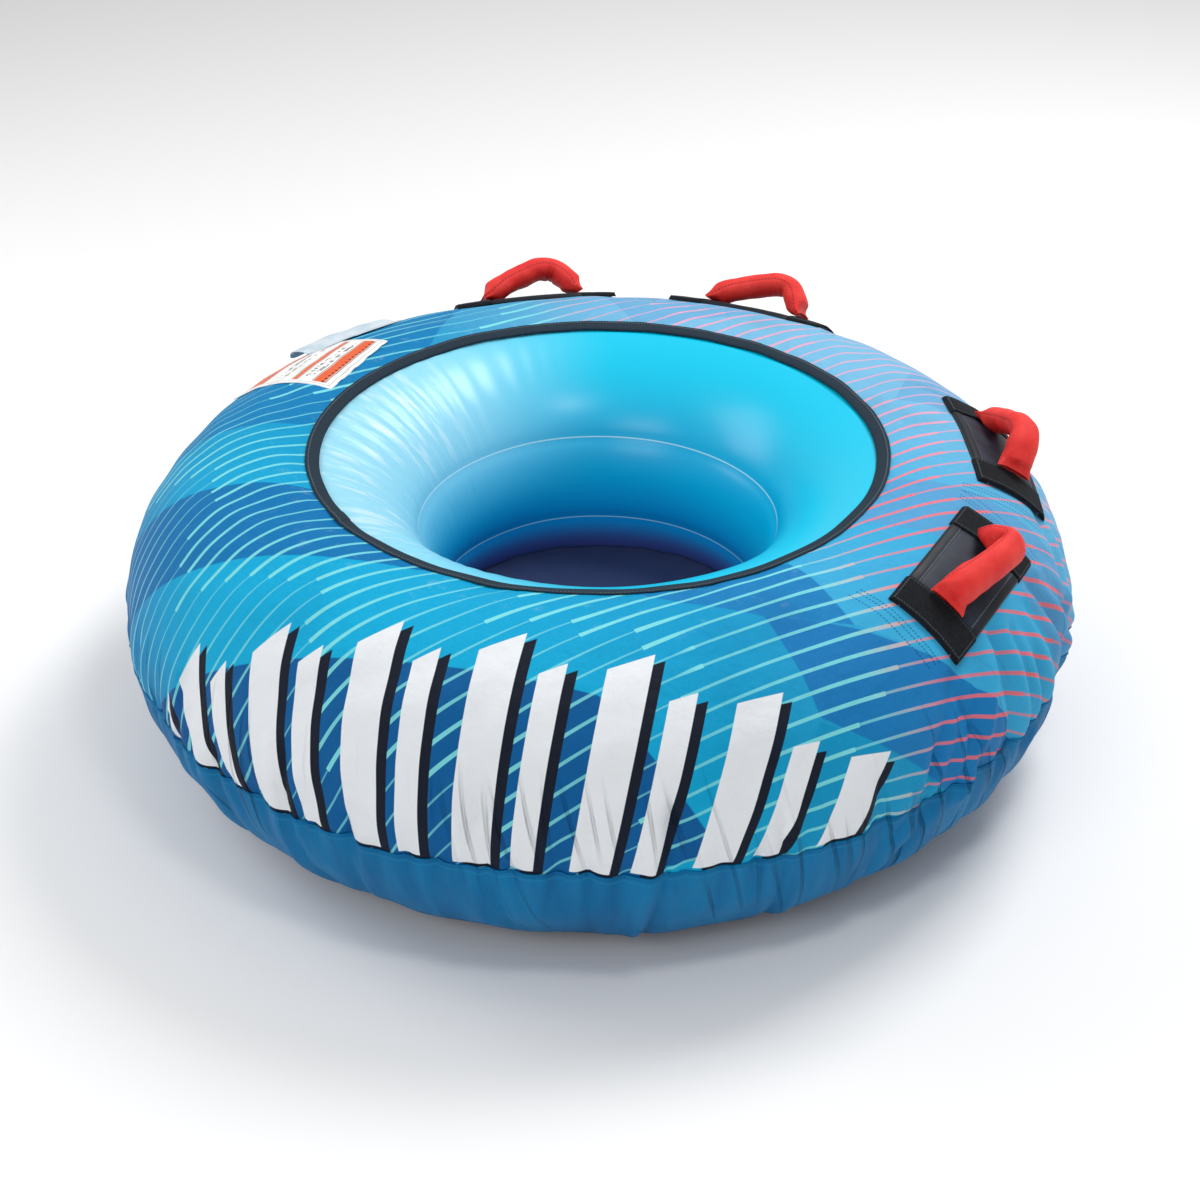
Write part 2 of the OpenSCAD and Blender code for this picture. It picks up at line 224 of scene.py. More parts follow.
class Paint:
    """A material under construction: coordinates, noise, colour mixes and its shader."""

    def __init__(self, name):
        self.material = bpy.data.materials.new(name)
        self.material.use_nodes = True
        self.tree = self.material.node_tree
        self.shader = self.tree.nodes["Principled BSDF"]
        self.place = self.node("TexCoord").outputs["Object"]
        self.x, self.y, self.z = self.split(self.place)
        self.colour = None

    def node(self, kind, **inputs):
        """A new node, with some of its inputs fed by name."""
        node = self.tree.nodes.new("ShaderNode" + kind)
        for name, value in inputs.items():
            feed(self.tree, node.inputs[name], value)
        return node

    def split(self, socket):
        node = self.node("SeparateXYZ", Vector=socket)
        return [Field(self.tree, output) for output in node.outputs]

    def join(self, x, y, z):
        return self.node("CombineXYZ", X=x, Y=y, Z=z).outputs[0]

    def sheet_uv(self):
        """Distances across and along a piece, in metres."""
        node = self.node("UVMap")
        node.uv_map = "UVMap"
        return self.split(node.outputs[0])[:2]

    def noise(self, scale, detail=3.0, place=None, rough=0.5):
        node = self.node("TexNoise", Scale=scale, Detail=detail, Roughness=rough,
                         Vector=place or self.place)
        return Field(self.tree, node.outputs[0])

    def chance(self, index):
        """A random number from 0 to 1 for each whole number."""
        node = self.node("TexWhiteNoise")
        node.noise_dimensions = "1D"
        feed(self.tree, node.inputs["W"], index)
        return Field(self.tree, node.outputs[0])

    def mix(self, under, over, share):
        node = self.node("Mix")
        node.data_type = "RGBA"
        for slot, value in ((6, under), (7, over), (0, share)):
            feed(self.tree, node.inputs[slot], value)
        return node.outputs[2]

    def bump(self, height, distance, strength=1.0):
        node = self.node("Bump", Distance=distance, Strength=strength, Height=height)
        before = self.shader.inputs["Normal"]
        if before.is_linked:
            self.tree.links.new(before.links[0].from_socket, node.inputs["Normal"])
        self.tree.links.new(node.outputs[0], before)

    def start(self, low, high, share):
        """The first colour, from low to high."""
        self.colour = self.mix(rgb(*low), rgb(*high), share)

    def over(self, shade, share):
        """Lays a display colour or a socket's colour over what is there, by its share."""
        shade = rgb(*shade) if isinstance(shade, tuple) else shade
        self.colour = self.mix(self.colour, shade, share)

    def rough(self, value):
        feed(self.tree, self.shader.inputs["Roughness"], value)

    def done(self, **values):
        """The finished material, with these uniform values on its shader."""
        feed(self.tree, self.shader.inputs["Base Color"], self.colour)
        for name, value in values.items():
            self.shader.inputs[name.replace("_", " ")].default_value = value
        return self.material


def greatest(fields):
    return functools.reduce(lambda a, b: a.op("MAXIMUM", b), fields)


def rgb(red, green, blue):
    """A display colour, 0 to 255, as the linear colour a shader takes."""
    def linear(c):
        c /= 255
        return c / 12.92 if c <= 0.04045 else ((c + 0.055) / 1.055) ** 2.4
    return linear(red), linear(green), linear(blue)


# ---------------- meshes
def on_tube(azimuth, angle, rise=0.0):
    """Points on the tube: azimuth and section angle in degrees, rise off the cover."""
    a, v = np.radians(azimuth), np.radians(angle)
    reach = RING + (SECTION + rise) * np.cos(v)
    return np.stack([reach * np.cos(a), reach * np.sin(a),
                     HEIGHT + (SECTION + rise) * np.sin(v)], -1)


def drape(azimuth, angle, down, along, rise, turn=0.0):
    """Points of a flat pattern laid on the tube: down the outside, along the ring."""
    t = math.radians(turn)
    x = down * math.cos(t) - along * math.sin(t)
    y = down * math.sin(t) + along * math.cos(t)
    v0, radius = math.radians(angle), SECTION + rise
    v = v0 - np.arcsin(np.clip(x / radius, -1, 1))
    for _ in range(5):
        reach = RING + radius * np.cos(v)
        level = np.sqrt(np.maximum(reach ** 2 - y ** 2, 1e-9)) - RING
        miss = level * math.sin(v0) - radius * np.sin(v) * math.cos(v0) - x
        v = v + miss / radius
    reach = RING + radius * np.cos(v)
    turned = np.degrees(np.arcsin(np.clip(y / reach, -1, 1)))
    return on_tube(azimuth + turned, np.degrees(v), rise)


def link(name, mesh, material, smooth=True):
    made = bpy.data.objects.new(name, mesh)
    bpy.context.scene.collection.objects.link(made)
    mesh.materials.append(material)
    mesh.polygons.foreach_set("use_smooth", [smooth] * len(mesh.polygons))
    return made


def grid(name, points, material, wrap_u=False, wrap_v=False, uv=None):
    """A quad mesh from an array of points, closed round either way if wanted."""
    rows, columns = points.shape[:2]
    index = np.arange(rows * columns).reshape(rows, columns)
    corners = [index, np.roll(index, -1, 0), np.roll(np.roll(index, -1, 0), -1, 1),
               np.roll(index, -1, 1)]
    if not wrap_u:
        corners = [c[:-1] for c in corners]
    if not wrap_v:
        corners = [c[:, :-1] for c in corners]
    faces = np.stack(corners, -1).reshape(-1, 4)
    mesh = bpy.data.meshes.new(name)
    mesh.from_pydata(points.reshape(-1, 3).tolist(), [], faces.tolist())
    if uv is not None:
        layer = mesh.uv_layers.new(name="UVMap")
        layer.data.foreach_set("uv", uv.reshape(-1, 2)[faces.ravel()].ravel())
    return link(name, mesh, material)


def modify(piece, kind, **values):
    """Adds a modifier to a piece and applies it."""
    modifier = piece.modifiers.new("made", kind)
    for name, value in values.items():
        setattr(modifier, name, value)
    bpy.context.view_layer.objects.active = piece
    bpy.ops.object.modifier_apply(modifier=modifier.name)


def fit(piece, slot, *nodes, body="tube"):
    """Says what a piece rides on and hides the CAD nodes it stands for; its material slot is
    not used.
    """
    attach(piece, body)
    if nodes:
        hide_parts(*nodes)


def fit_panel(piece, slot, node):
    """Gives a cover panel its thickness, and fits it."""
    modify(piece, "SOLIDIFY", thickness=PANEL_THICK, offset=-1.0)
    fit(piece, slot, node)


def add_faces(piece, faces):
    """Remakes a piece's mesh with more faces, whose texture coordinates are 0."""
    mesh = piece.data
    kept = [tuple(p.vertices) for p in mesh.polygons]
    made = bpy.data.meshes.new(piece.name)
    made.from_pydata([tuple(v.co) for v in mesh.vertices], [], kept + faces)
    if mesh.uv_layers:
        old = np.zeros(len(mesh.loops) * 2, np.float32)
        mesh.uv_layers["UVMap"].data.foreach_get("uv", old)
        new = np.zeros(2 * sum(len(f) for f in faces), np.float32)
        layer = made.uv_layers.new(name="UVMap")
        layer.data.foreach_set("uv", np.concatenate([old, new]))
    made.materials.append(mesh.materials[0])
    made.polygons.foreach_set("use_smooth", [True] * len(made.polygons))
    piece.data = made


def close_ends(piece, around):
    """Closes a swept tube at both its ends."""
    count = len(piece.data.vertices)
    add_faces(piece, [tuple(range(around))[::-1], tuple(range(count - around, count))])


def steps(width, pitch, edge=0.0025):
    """Positions across a width, from its middle, closer together at both edges."""
    high = width / 2
    low = -high
    inner = np.linspace(low + edge, high - edge, max(3, int((high - low) / pitch)))
    return np.concatenate([[low, low + edge * 0.35], inner, [high - edge * 0.35, high]])


def slab(name, place, xs, ys, top, bottom, material):
    """A thin closed piece: place(x, y, rise) between two height functions."""
    x, y = np.meshgrid(xs, ys, indexing="ij")
    upper, lower = place(x, y, top(x, y)), place(x, y, bottom(x, y))
    rows, columns = x.shape
    count = rows * columns
    index = np.arange(count).reshape(rows, columns)
    quads = np.stack([index[:-1, :-1], index[1:, :-1], index[1:, 1:], index[:-1, 1:]],
                     -1).reshape(-1, 4)
    rim = np.concatenate([index[:, 0], index[-1, 1:], index[-2::-1, -1], index[0, -2:0:-1]])
    following = np.roll(rim, -1)
    walls = np.stack([rim, rim + count, following + count, following], -1)
    faces = np.concatenate([quads, quads[:, ::-1] + count, walls])
    mesh = bpy.data.meshes.new(name)
    points = np.concatenate([upper.reshape(-1, 3), lower.reshape(-1, 3)])
    mesh.from_pydata(points.tolist(), [], faces.tolist())
    flat = np.stack([x, y], -1).reshape(-1, 2)
    layer = mesh.uv_layers.new(name="UVMap")
    layer.data.foreach_set("uv", np.concatenate([flat, flat])[faces.ravel()].ravel())
    return link(name, mesh, material)


def edge_fall(x, y, size, width):
    """1 inside a rectangle, falling to 0 at its edge like a rounded side."""
    gap = np.minimum(size[0] / 2 - np.abs(x), size[1] / 2 - np.abs(y))
    t = np.clip(gap / width, 0, 1)
    return np.sqrt(1 - (1 - t) ** 2)


def waves(x, y, seed, count, length, amount):
    """Smooth irregular ripples from a few random plane waves."""
    rng = np.random.default_rng(seed)
    total = np.zeros_like(x)
    for _ in range(count):
        a, k = rng.uniform(0, math.tau), math.tau / (length * rng.uniform(0.6, 1.6))
        total += np.sin(k * (x * math.cos(a) + y * math.sin(a)) + rng.uniform(0, math.tau))
    return total * amount / math.sqrt(count)


def ease(t):
    """0 to 1 with soft ends, as t goes from 0 to 1."""
    t = np.clip(t, 0, 1)
    return t * t * (3 - 2 * t)


def window(t, low, high, soft):
    """1 between low and high, easing to 0 over soft outside them."""
    return ease((t - low + soft) / soft) * ease((high + soft - t) / soft)


def dip(t, width, power=2):
    """1 at 0, falling away on both sides over about this width."""
    return np.exp(-np.abs(t / width) ** power)


# ---------------- materials
def weave(paint, pitch, depth, across=None, along=None):
    """A plain weave in a sheet's own coordinates, or round the tube."""
    if across is None:
        across, along = paint.sheet_uv()
    turn = math.tau / pitch
    paint.bump((across * turn).sin() * (along * turn).sin(), depth, 0.6)


def tube_fields(paint):
    """At each point of the tube: azimuth and section angle in degrees, and the distance
    from the ring's own axis."""
    azimuth = paint.y.op("ARCTAN2", paint.x) * (1 / DEGREE)
    reach = (paint.x * paint.x + paint.y * paint.y).op("SQRT")
    angle = (paint.z - HEIGHT).op("ARCTAN2", reach - RING) * (1 / DEGREE)
    return azimuth, angle, reach


def facet(x, y, *corners):
    """1 inside a convex facet of the print, whose corners run clockwise."""
    def edge(start, end):
        (x0, y0), (x1, y1) = start, end
        long = math.hypot(x1 - x0, y1 - y0)
        side = x * ((y1 - y0) / long) - y * ((x1 - x0) / long)
        line = (x0 * (y1 - y0) - y0 * (x1 - x0)) / long
        return side.ramp(line - 0.0012, line + 0.0012)

    return functools.reduce(operator.mul, map(edge, corners, corners[1:] + corners[:1]))


def print_background(paint, x, y):
    """The print's base colours, with painted light in their broad gradient, and its large
    angular facets, on its flat pattern.
    """
    bright, cyan, mid = (0, 168, 214), (0, 146, 194), (0, 118, 178)
    deep, navy, steel = (0, 102, 168), (0, 66, 138), (16, 114, 180)
    sky, lilac, pale = (56, 168, 214), (88, 152, 202), (118, 184, 220)
    # painted light, partly print: the base colours run paler to the right and back, where the
    # light falls strongest, and deeper blue at the front left
    right = (x * 0.92 + y * 0.3).ramp(-0.04, 0.34)
    paint.start(bright, cyan, (x + y).ramp(-0.7, -0.2))
    paint.over(mid, x.ramp(-0.48, -0.68) * 0.8)
    paint.over(sky, right)
    paint.over(pale, (x * 0.5 + y).ramp(-0.05, 0.42) * x.ramp(-0.35, 0.1))
    paint.over((60, 150, 200), y.ramp(0.25, 0.6) * x.ramp(0.2, -0.3) * 0.7)
    facets = (
        (mid, 0.8, (-0.8, 0.10), (-0.55, 0.5), (-0.2, 0.45), (-0.30, 0.05), (-0.50, 0.06)),
        (deep, 0.85, (-0.76, -0.04), (-0.30, -0.133), (-0.12, -0.345), (-0.76, -0.185)),
        (navy, 0.85, (-0.72, -0.345), (0.0, -0.545), (0.16, -0.72), (-0.3, -0.9),
         (-0.9, -0.6)),
        (steel, 0.75, (-0.05, -0.34), (0.225, -0.31), (0.297, -0.42), (0.19, -0.425),
         (0.10, -0.403)),
        (steel, 0.9, (0.19, -0.425), (0.297, -0.42), (0.53, -0.437), (0.78, -0.45),
         (0.60, -0.58), (0.31, -0.553), (0.26, -0.545)),
        (sky, 0.9, (0.225, -0.31), (0.305, -0.213), (0.74, -0.312), (0.78, -0.45),
         (0.53, -0.437), (0.297, -0.42)),
        (lilac, 0.7, (0.28, -0.205), (0.35, -0.098), (0.78, -0.172), (0.78, -0.32)),
        (cyan, 0.8, (0.26, -0.55), (0.31, -0.553), (0.62, -0.58), (0.5, -0.8), (0.2, -0.9)),
        (lilac, 0.45, (0.40, 0.12), (0.44, 0.24), (0.8, 0.30), (0.8, 0.02)),
        (lilac, 0.4, (0.06, 0.36), (-0.05, 0.6), (0.3, 0.9), (0.30, 0.42)),
        (deep, 0.5, (0.2, 0.72), (0.5, 0.9), (0.9, 0.5), (0.66, 0.36)),
    )
    for shade, share, *corners in facets:
        paint.over(shade, facet(x, y, *corners) * share)


def print_lines(paint, x, y):
    """Slanted parallel lines: each dash starts thick and tapers, mirrored on the right."""
    slant, pitch, dash = math.radians(29), 0.0255, 0.30
    wave, sway = 0.34, 0.008
    along = x * math.cos(slant) + y * math.sin(slant)
    across = y * math.cos(slant) - x * math.sin(slant)
    left = x.ramp(0.0, -0.4)
    across = across + (along * (math.tau / wave) + 0.6).sin() * left * sway
    row = (across / pitch).floor()
    off = ((across / pitch).fract() - 0.5).abs() * pitch
    # the dashes start along a zigzag that is 13 rows long, give or take a little chance
    front = ((row / 13.0).fract() - 0.5).abs() * 0.34
    share = ((along + front + paint.chance(row) * 0.04) / dash + 0.4).fract()
    flip = x.ramp(0.08, 0.12)
    share = share * (1.0 - flip) + (1.0 - share) * flip
    half = 0.0031 - flip * 0.0004 - share * (0.0021 - flip * 0.0011)
    mask = (half - off).ramp(-0.0003, 0.0004)
    return mask * (0.95 - share * (0.46 - flip * 0.12))


def print_blocks(x, y, angle):
    """A plain graphic of slanted white stripes, wide and narrow, and their shadow."""
    pitch = 0.0775
    left_end, right_end = -0.625, 0.368

    def blocks(right, drop):
        """The stripes, moved right and down; share is the place across each one."""
        u, v = x - right, y + drop
        place = (u - (v + 0.55) * (0.2 - u * 0.33) + 0.62) / pitch
        share, row = place.fract(), place.floor()
        tall = (row * 0.5).fract() * 2
        depth = -(v + 0.36) - (u + 0.60) * 0.226 - tall * 0.022
        slope = (share - 0.3) * 0.05
        body = share.ramp(0.03, 0.04) * (share + tall * 0.26).ramp(0.70, 0.69)
        body = body * (depth + slope).ramp(0.0, 0.0015)
        ends = u.ramp(left_end, left_end + 0.005) * u.ramp(right_end, right_end - 0.004)
        return body * ends

    low = angle.ramp(-3.4, -3.2)
    return blocks(0, 0) * low, blocks(0.0115, 0.009) * angle.ramp(-4.6, -4.4)


def stitch_marks(azimuth, angle, reach):
    """Rows of small dark stitches beyond both ends of each pad."""
    # the pads lie in two pairs, 18.5 degrees either side of 48.5 and of -48.5
    gap = ((azimuth.abs() - 48.5).abs() - 18.5) * DEGREE * reach
    down = (angle - HANDLE_ANGLE) * (DEGREE * SECTION)
    inside = down.abs().ramp(0.064, 0.062)
    dashes = (down / 0.0042).dashes(0.3, 0.24)
    rows = greatest((gap.abs() - offset).abs().ramp(0.0011, 0.0006)
                    for offset in (0.134, 0.141, 0.153))
    return rows * inside * dashes


def crease_lines(paint, turned, angle):
    """Thin long creases that cross the lower seam: contours of a stretched noise."""
    place = paint.join(turned + angle * 0.0011, angle * 0.0004, 0.0)
    field = paint.noise(15.0, 0.0, place)
    sharp = (field - 0.5).abs().ramp(0.035, 0.0)
    return sharp * angle.ramp(38, 4) * paint.noise(5.0, 1.0).ramp(0.38, 0.62)


def printed_fabric():
    """The top panel: x and y are places on its flat pattern, from the ring's middle."""
    paint = Paint("printed_fabric")
    azimuth, angle, reach = tube_fields(paint)
    spread = (OPENING_ANGLE - angle) * (DEGREE * SECTION) + OPENING_RADIUS
    turned = (azimuth + PHOTO_TURN) * DEGREE
    x, y = spread * turned.cos(), spread * turned.sin()
    print_background(paint, x, y)
    pink = (x + y * 0.45).ramp(0.08, 0.24)
    ink = paint.mix(rgb(128, 222, 226), rgb(240, 112, 118), pink)
    ink = paint.mix(ink, rgb(236, 164, 190), (x * 0.4 + y).ramp(-0.02, 0.3) * pink)
    paint.over(ink, print_lines(paint, x, y))
    white, shadow = print_blocks(x, y, angle)
    paint.over((16, 24, 40), shadow)
    paint.over((234, 238, 242), white)
    marks = stitch_marks(azimuth, angle, reach)
    paint.over((24, 60, 104), marks * 0.65)
    tone = paint.noise(9.0, 4.0)
    paint.over((10, 60, 110), tone.ramp(0.52, 0.85) * 0.16)
    # white patches, more of them towards the top of the section
    pale_patches = paint.noise(60.0, 3.0).ramp(0.6, 0.8) * angle.ramp(60, 100) * 0.08
    paint.over((255, 255, 255), pale_patches)
    folds = crease_lines(paint, turned, angle)
    # painted shade along the crease lines, over the print
    paint.over((0, 46, 92), folds * 0.16)
    paint.rough(tone * 0.16 + 0.44)
    paint.bump(folds, -0.006, 0.8)
    crease = paint.noise(26.0, 4.0, paint.join(turned * 0.9, angle * 0.006, 0.0))
    paint.bump(crease, 0.009, 0.4)
    weave(paint, 0.0013, 0.00022, x, y)
    paint.bump(marks, -0.0006)
    return paint.done(Specular_IOR_Level=0.12)


def side_fabric():
    """Plain blue, with painted shade streaked and creased down the section and darker towards
    the underside, and a row of seam stitches.
    """
    paint = Paint("side_fabric")
    azimuth, angle, _ = tube_fields(paint)
    turned = azimuth * DEGREE
    # painted shade: streaks down the section, darker and lighter like the shade of the side
    # panel's upright folds
    streak = paint.noise(18.0, 3.0, paint.join(turned, angle * 0.0009, 0.0))
    paint.start((0, 118, 172), (0, 98, 152), streak.ramp(0.3, 0.75))
    # painted shade, darker towards the underside
    paint.over((0, 60, 104), angle.ramp(-34, -60) * 0.6)
    folds = crease_lines(paint, turned + math.radians(PHOTO_TURN), angle)
    # painted shade along the crease lines
    paint.over((0, 40, 80), folds * 0.3)
    paint.bump(folds, -0.006, 0.8)
    hem = (angle - SEAM_ANGLE + 2.2).abs().ramp(0.35, 0.2)
    dashes = (turned * 190).dashes(0.34, 0.26)
    paint.over((30, 134, 178), hem * dashes * 0.7)
    paint.rough(streak * 0.2 + 0.42)
    paint.bump(paint.noise(34.0, 3.0, paint.join(turned, angle * 0.002, 0.0)), 0.006, 0.35)
    weave(paint, 0.0013, 0.00022, turned * 0.62, angle * (DEGREE * SECTION))
    return paint.done(Specular_IOR_Level=0.15)


def base_fabric():
    """Dark coated fabric with pale scuffs."""
    paint = Paint("base_fabric")
    tone = paint.noise(14.0, 4.0)
    paint.start((10, 26, 64), (20, 40, 92), tone.ramp(0.35, 0.7))
    scuff = paint.noise(70.0, 4.0).ramp(0.62, 0.75)
    paint.over((80, 96, 140), scuff * 0.2)
    paint.rough(tone * 0.25 + 0.45)
    weave(paint, 0.0016, 0.0003, paint.x, paint.y)
    paint.bump(paint.noise(34.0, 3.0), 0.004, 0.35)
    return paint.done(Specular_IOR_Level=0.2)


def bladder_vinyl():
    """Glossy vinyl, with painted shade darker down the well and painted highlights paler on the
    crinkled left, with its welds.
    """
    paint = Paint("bladder_pvc")
    azimuth, angle, _ = tube_fields(paint)
    tone = paint.noise(5.0, 3.0)
    # painted shade: the vinyl darkens down the well and turns navy near the floor, and is paler
    # high up
    paint.start((0, 152, 218), (0, 176, 222), paint.z.ramp(0.17, 0.26))
    paint.over((0, 194, 228), paint.z.ramp(0.27, 0.38))
    paint.over((84, 84, 156), paint.z.ramp(0.176, 0.128) * 0.9)
    turned = (azimuth + PHOTO_TURN) * DEGREE
    left = turned.cos().ramp(0.1, -0.95)
    far_left = turned.cos().ramp(-0.5, -0.97)
    crinkle = paint.noise(3.2, 4.0, paint.join(turned * 7, angle * 0.012, 0.0), 0.55)
    # painted highlights: a broad soft highlight on the upper left wall, and pale glints on the
    # crinkles there
    white = crinkle.ramp(0.50, 0.66) * paint.z.ramp(0.28, 0.36) * far_left
    paint.over((170, 222, 240), left * paint.z.ramp(0.20, 0.36) * 0.75)
    paint.over((222, 242, 250), white * 0.55)
    weld = greatest((paint.z - height).abs().ramp(0.0012, 0.0005) for height in WELDS)
    paint.over((196, 236, 246), weld * 0.8)
    paint.rough(tone * 0.08 + 0.26)
    paint.bump(crinkle * far_left, 0.007, 0.38)
    paint.bump(paint.noise(400.0, 2.0), 0.0003, 0.3)
    return paint.done(Specular_IOR_Level=0.42)


def binding_tape():
    """Ribbed tape with one row of stitches."""
    paint = Paint("binding_tape")
    azimuth, angle, _ = tube_fields(paint)
    round_ring = azimuth * DEGREE * OPENING_RADIUS
    ribs = (round_ring / 0.0022 * math.tau).sin()
    tone = paint.noise(120.0, 3.0)
    paint.start((18, 30, 40), (54, 74, 90), (ribs * 0.5 + 0.5) * 0.5 + tone * 0.3)
    stitch = (angle - OPENING_ANGLE + 3.5).abs().ramp(0.22, 0.12)
    dashes = (azimuth * DEGREE * OPENING_RADIUS / 0.0045).dashes(0.36, 0.3)
    paint.over((112, 122, 130), stitch * dashes * 0.8)
    paint.rough(tone * 0.2 + 0.6)
    paint.bump(ribs, 0.0004, 0.8)
    paint.bump(stitch * dashes, 0.0006)
    return paint.done(Specular_IOR_Level=0.15)


def neoprene():
    """Dark foam rubber, stitched along its two long edges."""
    paint = Paint("pad_neoprene")
    down, along = paint.sheet_uv()
    tone = paint.noise(60.0, 4.0)
    paint.start((20, 29, 42), (36, 48, 64), tone.ramp(0.3, 0.75))
    edge = down.abs().ramp(PAD_SIZE[0] / 2 - 0.0110, PAD_SIZE[0] / 2 - 0.0100)
    paint.over((22, 28, 36), edge)
    row = (down.abs() - PAD_SIZE[0] / 2 + PAD_ROW).abs().ramp(0.0009, 0.0005)
    dashes = (along / 0.0046).dashes(0.38, 0.32)
    paint.over((120, 130, 140), row * dashes * 0.6)
    paint.rough(tone * 0.2 + 0.42)
    paint.bump(paint.noise(900.0, 2.0), 0.0003, 0.4)
    paint.bump(row * dashes, -0.0006)
    return paint.done(Specular_IOR_Level=0.25)


def webbing(name, size):
    """Black webbing, stitched round inside its edges."""
    paint = Paint(name)
    down, along = paint.sheet_uv()
    tone = paint.noise(700.0, 3.0)
    twill = ((down + along * 0.5) * (math.tau / 0.0031)).sin()
    paint.start((9, 12, 16), (44, 52, 60), tone.ramp(0.42, 0.72) * 0.6)
    gap = (-(down.abs()) + (size[0] / 2 - 0.004)).op(
        "MINIMUM", -(along.abs()) + (size[1] / 2 - 0.004))
    row = gap.abs().ramp(0.0009, 0.0005)
    dashes = ((down + along) / 0.0044).dashes(0.4, 0.34)
    paint.over((84, 92, 100), row * dashes * 0.7)
    paint.rough(tone * 0.2 + 0.66)
    paint.bump(twill + tone * 1.4, 0.0004, 0.8)
    paint.bump(row * dashes, 0.0006)
    return paint.done(Specular_IOR_Level=0.15)


def grip_fabric():
    """Red woven fabric, faded in places, with a stitched seam along its underside."""
    paint = Paint("grip_fabric")
    along, round_it = paint.sheet_uv()
    tone = paint.noise(30.0, 4.0)
    paint.start((222, 34, 34), (240, 62, 54), tone.ramp(0.3, 0.75))
    worn = paint.noise(160.0, 3.0).ramp(0.6, 0.8)
    paint.over((250, 130, 118), worn * 0.18)
    row = (round_it - 0.5).abs().ramp(0.014, 0.009)
    dashes = (along / 0.005).dashes(0.36, 0.3)
    paint.over((150, 20, 24), row * dashes * 0.7)
    paint.rough(tone * 0.15 + 0.45)
    paint.bump(paint.noise(46.0, 5.0, rough=0.6), 0.004, 0.4)
    weave(paint, 0.0012, 0.0002, along, round_it * 0.1)
    return paint.done(Specular_IOR_Level=0.3)


def label_film():
    """A white patch with plain orange bars and grey rules: a generic warning layout."""
    paint = Paint("label_film")
    down, along = paint.sheet_uv()
    paint.start((244, 243, 240), (226, 226, 224), paint.noise(40.0).ramp(0.4, 0.8))
    inside = along.abs().ramp(0.0735, 0.073)
    squares = (along / 0.0094).dashes(0.20, 0.17)
    for place, half, dotted in ((-0.060, 0.0085, 1), (-0.022, 0.0035, 0), (0.044, 0.0125, 1)):
        bar = (down - place).abs().ramp(half, half - 0.0006) * inside
        paint.over((226, 92, 40), bar)
        for side in (-1, 1):
            rule = (down - place - side * (half + 0.0012)).abs().ramp(0.0009, 0.0006)
            paint.over((40, 36, 44), rule * inside * 0.85)
        if dotted:
            dots = (down - place + half - 0.0032).abs().ramp(0.0019, 0.0016) * squares * inside
            paint.over((30, 26, 34), dots)
    for place in (-0.044, -0.035, 0.0, 0.012):
        patches = paint.noise(120.0, 2.0).ramp(0.5, 0.54)
        rule = (down - place).abs().ramp(0.0028, 0.0022) * along.abs().ramp(0.062, 0.060)
        paint.over((84, 88, 96), rule * patches * 0.8)
    frame_line = down.abs().op("MAXIMUM", along.abs()) - 0.0775
    paint.over((70, 74, 90), frame_line.abs().ramp(0.0007, 0.0004) * 0.6)
    paint.rough(paint.noise(80.0) * 0.15 + 0.38)
    paint.bump(paint.noise(30.0, 4.0), 0.003, 0.35)
    return paint.done(Coat_Weight=0.1)


def flap_fabric():
    """Pale woven fabric."""
    paint = Paint("flap_fabric")
    down, along = paint.sheet_uv()
    tone = paint.noise(30.0, 4.0)
    paint.start((212, 224, 232), (176, 200, 214), tone.ramp(0.35, 0.8))
    paint.rough(tone * 0.2 + 0.45)
    weave(paint, 0.0013, 0.0002, down, along)
    return paint.done(Specular_IOR_Level=0.3)


def plain(name, colour, other, rough, metal=0.0, scale=200.0, depth=0.0002, coat=0.0):
    """A moulded or cast finish: slight mottling, fine grain and handling marks."""
    paint = Paint(name)
    tone = paint.noise(scale * 0.2, 4.0)
    wear = paint.noise(scale, 3.0).ramp(0.55, 0.8)
    paint.start(colour, other, tone.ramp(0.3, 0.8) * 0.6 + wear * 0.25)
    paint.rough(tone * 0.15 + wear * 0.1 + rough)
    paint.bump(paint.noise(scale * 4, 2.0), depth, 0.5)
    return paint.done(Metallic=metal, Coat_Weight=coat)


# ---------------- the cover and bladder
def puckers(azimuth, angle, seed, count, at, reach_up, reach_down, depth):
    """Sewn puckers: short irregular furrows that run away from a seam."""
    rng = np.random.default_rng(seed)
    total = np.zeros_like(azimuth)
    places = np.linspace(-180, 180, count, endpoint=False) + rng.uniform(-1.6, 1.6, count)
    for place in places:
        width = rng.uniform(0.45, 1.1)
        lean = rng.uniform(-0.07, 0.07)
        up, down = rng.uniform(0.45, 1.2) * reach_up, rng.uniform(0.45, 1.2) * reach_down
        gap = (azimuth - place - lean * (angle - at) + 180) % 360 - 180
        shape = dip(gap, width)
        t = np.where(angle > at, (angle - at) / up, (at - angle) / down)
        total -= shape * np.clip(1 - t, 0, 1) ** 1.4 * rng.uniform(0.4, 1.0) * depth
    return total


def handle_folds(azimuth, angle):
    """Folds that run down and out from the lower corners of each pad."""
    total = np.zeros_like(azimuth)
    for number, (place, *_) in enumerate(HANDLES.values()):
        rng = np.random.default_rng(40 + number)
        strength = 3.2 if place < -60 else 1.3
        for step in np.linspace(-15, 15, 9):
            start = place + step * 0.9 + rng.uniform(-0.8, 0.8)
            low, high = rng.uniform(-12, 6), rng.uniform(30, 40)
            slope = step * 0.016 + rng.uniform(-0.05, 0.05)
            gap = azimuth - start - slope * (high - angle)
            width = rng.uniform(0.9, 1.7)
            shape = dip(gap, width, 1.5) - 0.55 * dip(gap - 1.9 * width, width)
            depth = rng.uniform(0.0018, 0.0040) * strength
            total -= shape * window(angle, low, high, 9) * depth
    return total


